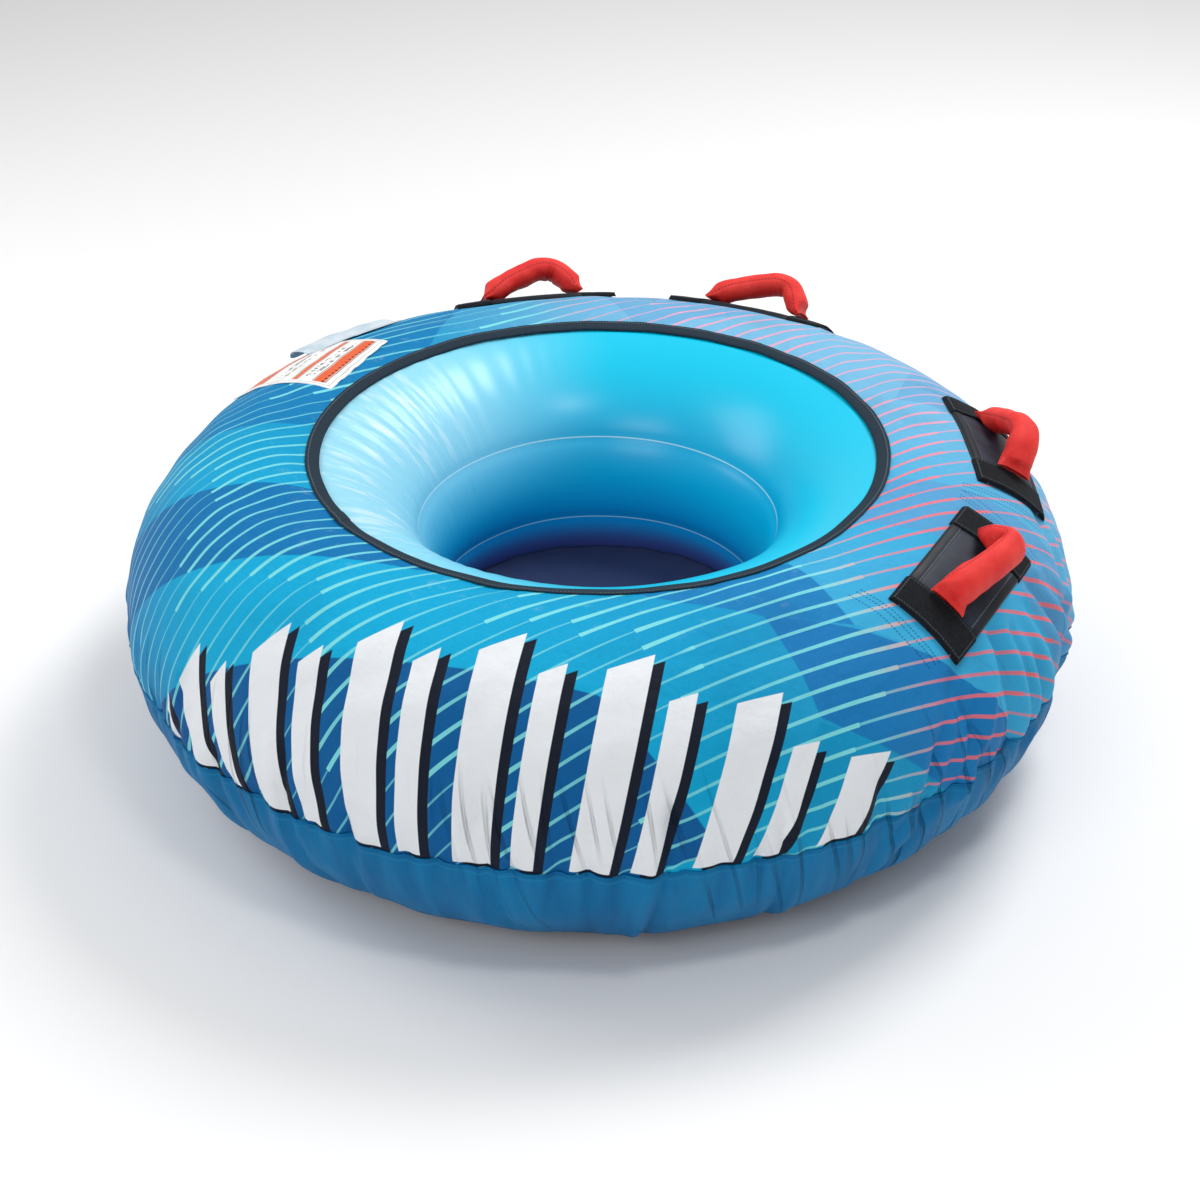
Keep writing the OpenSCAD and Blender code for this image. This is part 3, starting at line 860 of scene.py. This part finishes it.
def seam_folds(azimuth, angle):
    """A few deep folds that cross the lower seam, each a sharp valley beside a soft ridge."""
    rng = np.random.default_rng(23)
    total = np.zeros_like(azimuth)
    for place in np.linspace(-180, 180, 34, endpoint=False):
        start, lean = place + rng.uniform(-3.4, 3.4), rng.uniform(-0.09, 0.09)
        width, depth = rng.uniform(0.6, 1.2), rng.uniform(0.0034, 0.0092)
        low, high = rng.uniform(-54, -30), rng.uniform(-3, 20)
        side = rng.choice([-1, 1])
        gap = (azimuth - start - lean * (angle - SEAM_ANGLE) + 180) % 360 - 180
        valley = dip(gap, width, 1)
        ridge = 0.6 * dip(gap - side * 2.2 * width, 1.4 * width)
        total -= (valley - ridge) * window(angle, low, high, 14) * depth
    return total


def calm(azimuth, angle):
    """1 on open fabric, low where the zipper or the tow patch is sewn down."""
    zipper = window(azimuth, ZIPPER["start"] - 2, ZIPPER["end"] + 2, 4) * window(
        angle, ZIPPER["angle"] - 5, ZIPPER["angle"] + 5, 7)
    tow = window(azimuth, -6.5, 6.5, 4) * window(angle, TOW_ANGLE - 15, TOW_ANGLE + 15, 8)
    return 1 - 0.97 * np.maximum(zipper, tow)


def cover_rise(azimuth, angle):
    """How far the fabric stands off the round section, smoothly, in metres."""
    a = np.radians(azimuth)
    seam = 0.0012 * dip(angle - SEAM_ANGLE, 2.2)
    soft = waves(np.cos(a), np.sin(a) + angle * 0.012, 5, 9, 0.34, 0.0011)
    fine = waves(RING * a, SECTION * np.radians(angle), 8, 7, 0.09, 0.00022)
    lower = puckers(azimuth, angle, 11, 84, SEAM_ANGLE, 26, 40, 0.0080)
    upper = puckers(azimuth, angle, 12, 110, OPENING_ANGLE - 4.7, 3, 9, 0.0007)
    billow = 0.0022 * np.sin(a * 24 + 1.3 * np.sin(a * 5)) * window(angle, -40, 4, 20)
    loose = lower + billow + seam_folds(azimuth, angle) + handle_folds(azimuth, angle)
    return upper - seam + (soft + fine + loose) * calm(azimuth, angle) - 0.0002


def all_round(count):
    """Azimuths in degrees, evenly round the ring."""
    return np.linspace(-180, 180, count, endpoint=False)


def cover_grid(name, material, low, high, rows):
    angle, azimuth = np.meshgrid(np.linspace(low, high, rows), all_round(840))
    points = on_tube(azimuth, angle, cover_rise(azimuth, angle))
    return grid(name, points, material, wrap_u=True)


def add_cover():
    """The four sewn panels: printed top, side, base and the floor across the well."""
    top = cover_grid("printed_top", printed_fabric(), SEAM_ANGLE, OPENING_ANGLE, 58)
    cut_valve_hole(top)
    fit_panel(top, "printed_fabric", "cover_top")

    side = cover_grid("side_panel", side_fabric(), BASE_ANGLE, SEAM_ANGLE, 40)
    fit_panel(side, "side_fabric", "cover_side")

    turn = all_round(360)
    angle, azimuth = np.meshgrid(np.linspace(FLOOR_ANGLE, BASE_ANGLE, 60), turn)
    rise = cover_rise(azimuth, np.maximum(angle, BASE_ANGLE)) * window(
        angle, BASE_ANGLE - 4, 0, 22)
    rise += waves(azimuth * 0.007, angle * 0.0036, 21, 6, 0.12, 0.0009) - 0.0006
    points = on_tube(azimuth, angle, rise)
    points[..., 2] = np.maximum(points[..., 2], 0.0002)
    base = grid("base_panel", points, base_fabric(), wrap_u=True)
    fit_panel(base, "base_fabric", "cover_base")

    radius, azimuth = np.meshgrid(np.linspace(0.004, FLOOR_RADIUS, 60), turn)
    a = np.radians(azimuth)
    x, y = radius * np.cos(a), radius * np.sin(a)
    sag = waves(x, y, 31, 8, 0.13, 0.0010) * (radius / FLOOR_RADIUS) - 0.0012
    sag += 0.0009 * np.sin(a * 27 + 2 * np.sin(3 * a)) * (radius / FLOOR_RADIUS) ** 3
    panel = grid("floor_panel", np.stack([x, y, FLOOR_TOP - 0.001 + sag], -1),
                 bpy.data.materials["base_fabric"], wrap_u=True)
    # closes the small hole left at the panel's middle
    middle = [v.index for v in panel.data.vertices if v.co.xy.length < 0.0045]
    add_faces(panel, [tuple(reversed(middle))])
    fit_panel(panel, "base_fabric", "cover_floor")


def cut_valve_hole(piece):
    """Opens the cover round the valve, as the CAD cover is."""
    centre = Vector(on_tube(np.array(FLAP["azimuth"]), np.array(VALVE_ANGLE)).tolist())
    mesh = bmesh.new()
    mesh.from_mesh(piece.data)
    inside = [v for v in mesh.verts if (v.co - centre).length < VALVE_HOLE]
    bmesh.ops.delete(mesh, geom=inside, context="VERTS")
    outward = (centre - Vector((centre.x, centre.y, 0)).normalized() * RING
               - Vector((0, 0, HEIGHT))).normalized()
    rim = [v for v in mesh.verts
           if v.is_boundary and (v.co - centre).length < VALVE_HOLE + 0.012]
    for v in rim:
        offset = v.co - centre
        flat = offset - outward * offset.dot(outward)
        v.co += flat.normalized() * (VALVE_HOLE - flat.length)
    mesh.to_mesh(piece.data)
    mesh.free()


def add_bladder():
    """The whole inflated ring: seen in the well, and just under the cover elsewhere."""
    angle, azimuth = np.meshgrid(all_round(212), all_round(460))
    round_well = (angle + 360) % 360
    a = np.radians(azimuth)
    left = np.clip(-np.cos(a + math.radians(PHOTO_TURN)), 0, 1)
    inside = window(round_well, 98, 214, 12)
    ripple = waves(np.cos(a) * 0.4, np.sin(a) * 0.4 + round_well * 0.0012, 51, 7, 0.36, 0.0011)
    pleat = np.sin(azimuth * 1.15 + 2.2 * np.sin(azimuth * 0.11)
                   + waves(azimuth, round_well * 0.1, 52, 4, 30, 0.8))
    pleat *= window(round_well, 103, 128, 12) * left ** 1.5 * 0.0012
    # the wall between the two welds is nearly upright, with a crease at each weld
    height = HEIGHT + SECTION * np.sin(np.radians(round_well))
    crease = sum(dip(height - h, 0.011, 1) for h in WELDS)
    crease = crease * ((round_well > 120) & (round_well < 240)) * -0.0036
    shown = window(round_well, OPENING_ANGLE + 1.5, 210, 2.5)
    covered = cover_rise(azimuth, np.clip(angle, BASE_ANGLE, OPENING_ANGLE)) - 0.0048
    rise = (-0.0021 + (ripple + pleat) * inside + crease) * shown + covered * (1 - shown)
    points = on_tube(azimuth, angle, rise)
    points[..., 2] = np.maximum(points[..., 2], 0.0014)
    bladder = grid("bladder_skin", points, bladder_vinyl(), wrap_u=True, wrap_v=True)
    fit(bladder, "bladder_pvc", "bladder", "bladder_welds")


def add_binding():
    """Tape folded over the cover's edge, with one place where its ends overlap."""
    azimuth = all_round(1440)
    width = math.degrees(0.0165 / SECTION)
    # (angle from the opening, rise off the cover) round the folded tape
    profile = [(-width, 0.0009), (-width + 0.15, 0.0021), (-width * 0.75, 0.0023),
               (-width * 0.3, 0.0022), (0.15, 0.0021), (0.55, 0.0012), (0.62, 0.0),
               (0.55, -0.0010), (0.2, -0.0016), (-0.2, -0.0011), (-0.25, 0.0),
               (-width * 0.4, 0.0004)]
    lap = window((azimuth - 177 + 180) % 360 - 180, -1.6, 1.6, 0.15)
    rows = []
    for turn, rise in profile:
        sway = waves(azimuth * 0.0063, azimuth * 0, 61, 6, 0.06, 0.05)
        lift = rise + lap * 0.0011 * (rise > 0.001)
        rows.append(on_tube(azimuth, OPENING_ANGLE + turn + sway * (turn < 0), lift
                            + cover_rise(azimuth, OPENING_ANGLE + turn + 0 * azimuth) * 0.6))
    tape = grid("opening_binding_tape", np.stack(rows, 1), binding_tape(), wrap_u=True,
                wrap_v=True)
    fit(tape, "binding_tape", "opening_binding")


def add_piping():
    """A thin round cord of side fabric along the lower seam."""
    thick = 0.0011
    turn = np.linspace(0, math.tau, 8, endpoint=False)
    a, t = np.meshgrid(all_round(900), turn, indexing="ij")
    angle = SEAM_ANGLE + np.degrees(thick * np.cos(t) / SECTION)
    rise = cover_rise(a, SEAM_ANGLE + 0 * a) + 0.0006 + thick * np.sin(t)
    piping = grid("seam_piping", on_tube(a, angle, rise), side_fabric(), wrap_u=True,
                  wrap_v=True)
    fit(piping, "side_fabric", "side_piping")


# ---------------- handles
def curve_through(points, count):
    """Points along a smooth curve through these ones."""
    points = np.array(points, float)
    ends = np.concatenate([[2 * points[0] - points[1]], points, [2 * points[-1] - points[-2]]])
    made = []
    for k in range(len(points) - 1):
        p0, p1, p2, p3 = ends[k:k + 4]
        for t in np.linspace(0, 1, 24, endpoint=False):
            made.append(0.5 * ((2 * p1) + (p2 - p0) * t + (2 * p0 - 5 * p1 + 4 * p2 - p3)
                               * t ** 2 + (3 * p1 - p0 - 3 * p2 + p3) * t ** 3))
    made = np.array([*made, points[-1]])
    length = np.concatenate([[0], np.cumsum(np.linalg.norm(np.diff(made, axis=0), axis=1))])
    even = np.linspace(0, length[-1], count)
    return np.stack([np.interp(even, length, made[:, k]) for k in range(points.shape[1])],
                    1), even


def normals(line):
    """Unit normals along a line of points in a plane."""
    tangent = np.gradient(line, axis=0)
    tangent /= np.linalg.norm(tangent, axis=1)[:, None]
    return np.stack([-tangent[:, 1], tangent[:, 0]], 1)


def cover_axes(azimuth, angle):
    """Centre on the cover, then the directions outward, down the outside and along."""
    a, v = math.radians(azimuth), math.radians(angle)
    out = np.array([math.cos(a) * math.cos(v), math.sin(a) * math.cos(v), math.sin(v)])
    down = np.array([math.cos(a) * math.sin(v), math.sin(a) * math.sin(v), -math.cos(v)])
    along = np.array([-math.sin(a), math.cos(a), 0.0])
    centre = np.array([RING * math.cos(a), RING * math.sin(a), HEIGHT]) + out * SECTION
    return centre, out, down, along


def grip_points(lean, crook, seed):
    """Rings of a soft sleeve in its pad's own axes: down, along, out."""
    bent = abs(crook)
    path = np.array(GRIP_ARCHED) * (1 - bent) + np.array(GRIP_BENT) * bent
    centre, length = curve_through(path, 96)
    normal = normals(centre)
    share = length / length[-1]
    ends = np.minimum(share, 1 - share)
    flat = ease(ends / 0.10)
    wide = GRIP_HALF_WIDE + 0.0036 * dip(ends, 0.045) + 0.0010 * np.sin(share * 9)
    thick = GRIP_HALF_THICK[0] + (GRIP_HALF_THICK[1] - GRIP_HALF_THICK[0]) * flat
    phi = np.linspace(0, math.tau, 36, endpoint=False)
    s, f = np.meshgrid(share, phi, indexing="ij")
    e = np.minimum(s, 1 - s)
    inner = np.clip(-np.sin(f), 0, 1)
    # creases on the inner side at the bend, as (place, width, depth), and end pleats
    dent = sum(dip(s - GRIP_BEND - d, w) * a for d, w, a in
               ((-0.02, 0.014, 0.0042), (0.025, 0.011, 0.0038), (0.0, 0.05, 0.0024)))
    dent = dent * inner ** 0.8 * (0.4 + 0.6 * bent)
    phase = np.random.default_rng(seed).uniform(0, 6)
    pleats = np.sin(f * 7 + phase + 3 * s) * dip(e, 0.10) * 0.0011
    small = waves(s * 0.2, f * 0.019, seed + 1, 8, 0.035, 0.00045)
    swell = pleats + small - dent
    seam = -0.0007 * dip(f - math.pi, 0.11)
    radius_x = wide[:, None] + swell + seam
    radius_n = thick[:, None] + (swell + seam) * flat[:, None]
    square = 1 - 0.12 * np.sin(2 * f) ** 2
    down = radius_x * np.cos(f) / square ** 0.25
    lift = radius_n * np.sin(f) / square ** 0.25
    along = centre[:, :1] + normal[:, :1] * lift
    out = centre[:, 1:] + normal[:, 1:] * lift
    # corners of the sewn ends flare towards the pad's edges
    flare = dip(e, 0.035)
    along = along + np.sign(along) * flare * np.abs(np.cos(f)) ** 3 * 0.004
    # the sleeve turns over its hinge line, little by little
    turn = ease((out - 0.006) / 0.024) * math.radians(lean)
    rise = out - HINGE
    down, out = (down * np.cos(turn) + rise * np.sin(turn),
                 HINGE + rise * np.cos(turn) - down * np.sin(turn))
    uv = np.stack([np.broadcast_to(length[:, None], s.shape), f / math.tau], -1)
    if crook < 0:  # bent the other way: a mirror image, with its faces still outward
        return np.stack([down, -along, out], -1), uv
    return np.stack([down, along, out], -1)[:, ::-1], uv[:, ::-1]


def add_grip(name, number, material, azimuth, lean, crook, askew):
    """The soft sleeve over a handle's foam core, sewn down at both ends."""
    centre, out, down, along = cover_axes(azimuth, HANDLE_ANGLE)
    t = math.radians(askew)
    down, along = (down * math.cos(t) + along * math.sin(t),
                   along * math.cos(t) - down * math.sin(t))
    points, uv = grip_points(lean, crook, 70 + number)
    placed = (centre + points[..., :1] * down + points[..., 1:2] * along
              + points[..., 2:] * out)
    sleeve = grid("grip_sleeve_" + name, placed, material, wrap_v=True, uv=uv)
    close_ends(sleeve, placed.shape[1])
    modify(sleeve, "SUBSURF", levels=1, render_levels=1)
    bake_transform(sleeve)
    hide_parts("sleeve_" + name, "core_" + name, "anchors_" + name,
                "webbing_" + name)


def add_pad(name, number, material, place):
    """A neoprene pad, swollen in the middle and pressed flat under its bands."""
    half = PAD_SIZE[1] / 2

    def top(x, y):
        hem = 0.0007 * window(np.abs(x), PAD_SIZE[0] / 2 - 0.0105, 1, 0.0015)
        body_swell = 0.0009 * window(np.abs(y), 0, half - BAND - 0.010, 0.012)
        groove = -0.0009 * dip(np.abs(x) - PAD_SIZE[0] / 2 + PAD_ROW, 0.0012)
        press = -0.0009 * window(np.abs(y), half - BAND, 1, 0.002)
        sag = waves(x, y, 80 + number, 6, 0.07, 0.0003)
        return (PAD_BASE + PAD_THICK + hem + groove + body_swell + press + sag
                ) * edge_fall(x, y, PAD_SIZE, 0.0022) + PAD_BASE * 0.2

    pad = slab("pad_" + name + "_foam", place, steps(PAD_SIZE[0], 0.0028),
               steps(PAD_SIZE[1], 0.004), top, lambda x, y: PAD_BASE + 0 * x, material)
    fit(pad, "pad_neoprene", "pad_" + name)


def add_band(name, number, side, material, place):
    """The webbing over one end of a pad: side is -1 or 1, along the ring."""
    middle = side * (PAD_SIZE[1] / 2 - BAND / 2)
    low = PAD_BASE + PAD_THICK + 0.0002

    def top(x, y):
        edge = edge_fall(x, y, (BAND_LENGTH, BAND), 0.0012)
        roll = 0.0004 * dip(np.abs(x) - 0.052, 0.0025)
        hump = 0.0012 * dip(y * side + BAND / 2 - 0.004, 0.006) * dip(x, 0.022, 4)
        drop = -0.0030 * window(np.abs(x), BAND_BEND, 1, 0.002)
        return low + (0.0021 + roll + hump) * edge + drop + waves(
            x, y, 90 + number + side, 7, 0.03, 0.00025)

    def under(x, y):
        return low - 0.0002 - 0.0028 * window(np.abs(x), BAND_BEND, 1, 0.002) + 0 * y

    band = slab(f"band_{name}_{'a' if side < 0 else 'b'}",
                lambda x, y, rise: place(x, y + middle, rise), steps(BAND_LENGTH, 0.0028),
                steps(BAND, 0.0028), top, under, material)
    fit(band, "webbing", *(["bands_" + name] if side < 0 else []))


def add_handles():
    red, black, rubber = grip_fabric(), webbing("webbing_band", (BAND_LENGTH, BAND)), neoprene()
    for number, (name, (azimuth, lean, crook, askew)) in enumerate(HANDLES.items()):
        place = functools.partial(drape, azimuth, HANDLE_ANGLE, turn=askew)
        add_grip(name, number, red, azimuth, lean, crook, askew)
        add_pad(name, number, rubber, place)
        for side in (-1, 1):
            add_band(name, number, side, black, place)


# ---------------- label, flap, tow point
def add_label():
    """The printed patch on the cover, with its short edges lifting a little."""
    size = LABEL["size"]
    place = functools.partial(drape, LABEL["azimuth"], LABEL["angle"], turn=LABEL["turn"])

    def top(x, y):
        curl = dip(size[0] / 2 - np.abs(x), 0.01)
        lifted = np.clip(np.sin(y * 160 + np.sign(x)), 0, 1)
        return (0.0008 + 0.0009 * edge_fall(x, y, size, 0.0012) + 0.0010 * curl * lifted
                + waves(x, y, 101, 8, 0.05, 0.00035))

    label = slab("label_patch_film", place, steps(size[0], 0.0035), steps(size[1], 0.0035),
                 top, lambda x, y: top(x, y) - 0.0009, label_film())
    fit(label, "label_film", "label_patch")


def add_flap():
    """A pale flap that stands up from its hem, behind the label."""
    centre, out, down, along = cover_axes(FLAP["azimuth"], FLAP["angle"])
    length, width, hem = FLAP["length"], FLAP["width"], FLAP["hem"]
    lift = math.radians(FLAP["lift"])
    xs = np.concatenate([np.linspace(-hem, 0, 6), np.linspace(0, length, 34)[1:]])
    ys = steps(width, 0.004)

    def shape(x, y, above):
        t = np.clip(x / length, 0, 1)
        corner = np.clip((np.abs(y) / (width / 2) - 0.55) / 0.45, 0, 1)
        reach = x * (1 - 0.30 * corner ** 2.2 * t)
        narrow = y * (1 - 0.10 * t ** 2)
        rise = 0.0022 + above + 0.0010 * np.sin(narrow * 90 + 1) * t + waves(
            x, y, 111, 7, 0.05, 0.0006) * t
        lay = drape(FLAP["azimuth"], FLAP["angle"], reach, narrow, rise)
        rel = lay - centre
        a, b, c = rel @ down, rel @ out - 0.002, rel @ along
        bend = np.clip(x / 0.012, 0, 1) * lift - 0.13 * t ** 2
        lower = a * np.cos(bend) + b * np.sin(bend)
        higher = 0.002 + b * np.cos(bend) + a * np.sin(bend)
        return (centre + lower[..., None] * down + higher[..., None] * out
                + c[..., None] * along)

    flap = slab("valve_flap_cloth", shape, xs, ys, lambda x, y: 0.0009 + 0 * x,
                lambda x, y: 0 * x, flap_fabric())
    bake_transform(flap)
    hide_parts("valve_flap", "flap_hem")


def strap_along(name, path, width, thickness, angle, material):
    """A strap along a path of (down, out) points, its width along the ring."""
    centre, out, down, along = cover_axes(0.0, angle)
    line, length = curve_through(path, 110)
    normal = normals(line)
    half, edge = width / 2, thickness / 2
    across = np.concatenate([[-half], np.linspace(-half + edge, half - edge, 21), [half]])
    ring = [(w, edge * (0.35 if abs(w) == half else 1)) for w in across]
    ring += [(w, -h) for w, h in ring[::-1]]
    points, uv = [], []
    for w, h in ring:
        sway = waves(length, 0 * length + w * 0.2, 121, 5, 0.05, 0.0002)
        flat = line + normal * (h + sway)[:, None]
        points.append(centre + flat[:, :1] * down + flat[:, 1:] * out + w * along)
        uv.append(np.stack([0 * length + w, length - length[-1] / 2], 1))
    made = grid(name, np.stack(points, 1), material, wrap_v=True, uv=np.stack(uv, 1))
    close_ends(made, len(ring))
    return made


def add_tow_point():
    """The reinforcement patch, and the webbing loop that holds the link's bar."""
    black = webbing("webbing_patch", TOW_PATCH)

    def place(x, y, rise):
        return drape(0.0, TOW_ANGLE, y, x, rise)

    def top(x, y):
        box = np.maximum(np.abs(x) / 0.058, np.abs(y) / 0.042)
        groove = -0.0005 * dip(box - 1, 0.02)
        return 0.0008 + 0.0021 * edge_fall(x, y, TOW_PATCH, 0.0015) + groove + waves(
            x, y, 131, 6, 0.05, 0.0003)

    patch = slab("tow_patch_cloth", place, steps(TOW_PATCH[0], 0.003),
                 steps(TOW_PATCH[1], 0.003), top, lambda x, y: 0.0005 + 0 * x, black)
    fit(patch, "webbing", "tow_patch")

    # one half of the strap's path is the other's mirror image, over the link's bar
    foot = [(-0.044, 0.0046), (-0.030, 0.0058), (-0.0165, 0.0100), (-0.0090, 0.0148)]
    arch = [(0.0083 * math.cos(turn), 0.0203 + 0.0083 * math.sin(turn))
            for turn in np.radians([150, 120, 90, 60, 30])]
    path = foot + arch + [(-x, y) for x, y in reversed(foot)]
    strap = strap_along("tow_loop", path, 0.05, 0.0024, TOW_ANGLE,
                        webbing("webbing_loop", (0.05, 0.13)))
    fit(strap, "webbing", "tow_strap")


def zipper_teeth(place, half):
    """Moulded teeth from both sides in turn: vertices and faces of one mesh."""
    outline = [(-0.0026, -0.0011), (-0.0004, -0.0009), (0.0009, -0.0012), (0.0016, 0.0),
               (0.0009, 0.0012), (-0.0004, 0.0009), (-0.0026, 0.0011)]
    levels = ((0.0013, 1.0), (0.0024, 1.0), (0.0029, 0.72))  # height, size of the outline
    margin, sides = 0.02, len(outline)
    vertices, faces = [], []
    for k in range(int((2 * half - 2 * margin) / ZIPPER["pitch"])):
        flip = 1 if k % 2 else -1
        y = -half + margin + k * ZIPPER["pitch"]
        base = len(vertices)
        for rise, size in levels:
            for px, py in outline:
                spot = place(np.array(flip * px * size), np.array(y + py * size), rise)
                vertices.append(tuple(spot.tolist()))
        made = [[base + 2 * sides + i for i in range(sides)],
                [base + i for i in range(sides)][::-1]]
        for first in (base, base + sides):
            for i in range(sides):
                here, following = first + i, first + (i + 1) % sides
                made.append([here, following, following + sides, here + sides])
        faces += [f if flip > 0 else f[::-1] for f in made]
    return vertices, faces


def add_zipper():
    """Woven tape with its rows of stitching, and two rows of moulded teeth."""
    ring = RING + SECTION * math.cos(math.radians(ZIPPER["angle"]))
    half = math.radians(ZIPPER["end"] - ZIPPER["start"]) * ring / 2
    middle = (ZIPPER["start"] + ZIPPER["end"]) / 2

    def place(x, y, rise):
        return on_tube(middle + np.degrees(y / ring), ZIPPER["angle"]
                       - np.degrees(x / SECTION), rise)

    def top(x, y):
        return 0.0012 + 0.0003 * np.sin(y * 120) * np.abs(x) / 0.015

    tape = slab("zipper_tape_cloth", place, steps(ZIPPER["tape"], 0.0026),
                np.linspace(-half, half, 260), top, lambda x, y: 0.0004 + 0 * x,
                webbing("webbing_zipper", (0.030, 9.0)))
    fit(tape, "webbing", "zipper_tape")

    mesh = bpy.data.meshes.new("zipper_teeth_rows")
    vertices, faces = zipper_teeth(place, half)
    mesh.from_pydata(vertices, [], faces)
    plastic = plain("zipper_plastic", (24, 26, 30), (60, 64, 70), 0.4)
    teeth = link("zipper_teeth_rows", mesh, plastic, smooth=False)
    fit(teeth, "zipper_plastic", "zipper_teeth")


def finish_hard_parts():
    """Hard CAD nodes keep their shape and get moulded, rubber and metal finishes."""
    plastic = plain("valve_plastic", (226, 232, 236), (204, 212, 218), 0.32, coat=0.1)
    rubber = plain("valve_rubber", (26, 28, 30), (52, 54, 56), 0.6)
    link_metal = plain("link_metal", (190, 194, 198), (140, 146, 152), 0.24, metal=1.0,
                       scale=90.0)
    pull_metal = plain("zipper_metal", (176, 180, 184), (120, 124, 130), 0.3, metal=1.0)
    finishes = {"valve_base": plastic, "valve_body": plastic, "valve_cap": plastic,
                "valve_diaphragm": rubber, "tow_link": link_metal,
                "zipper_slider": pull_metal, "zipper_pull": pull_metal}
    for node, material in finishes.items():
        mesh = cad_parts[node].data
        mesh.materials.clear()
        mesh.materials.append(material)


for step in (add_camera, add_studio, add_cover, add_bladder, add_binding, add_piping,
             add_handles, add_label, add_flap, add_tow_point, add_zipper, finish_hard_parts):
    step()
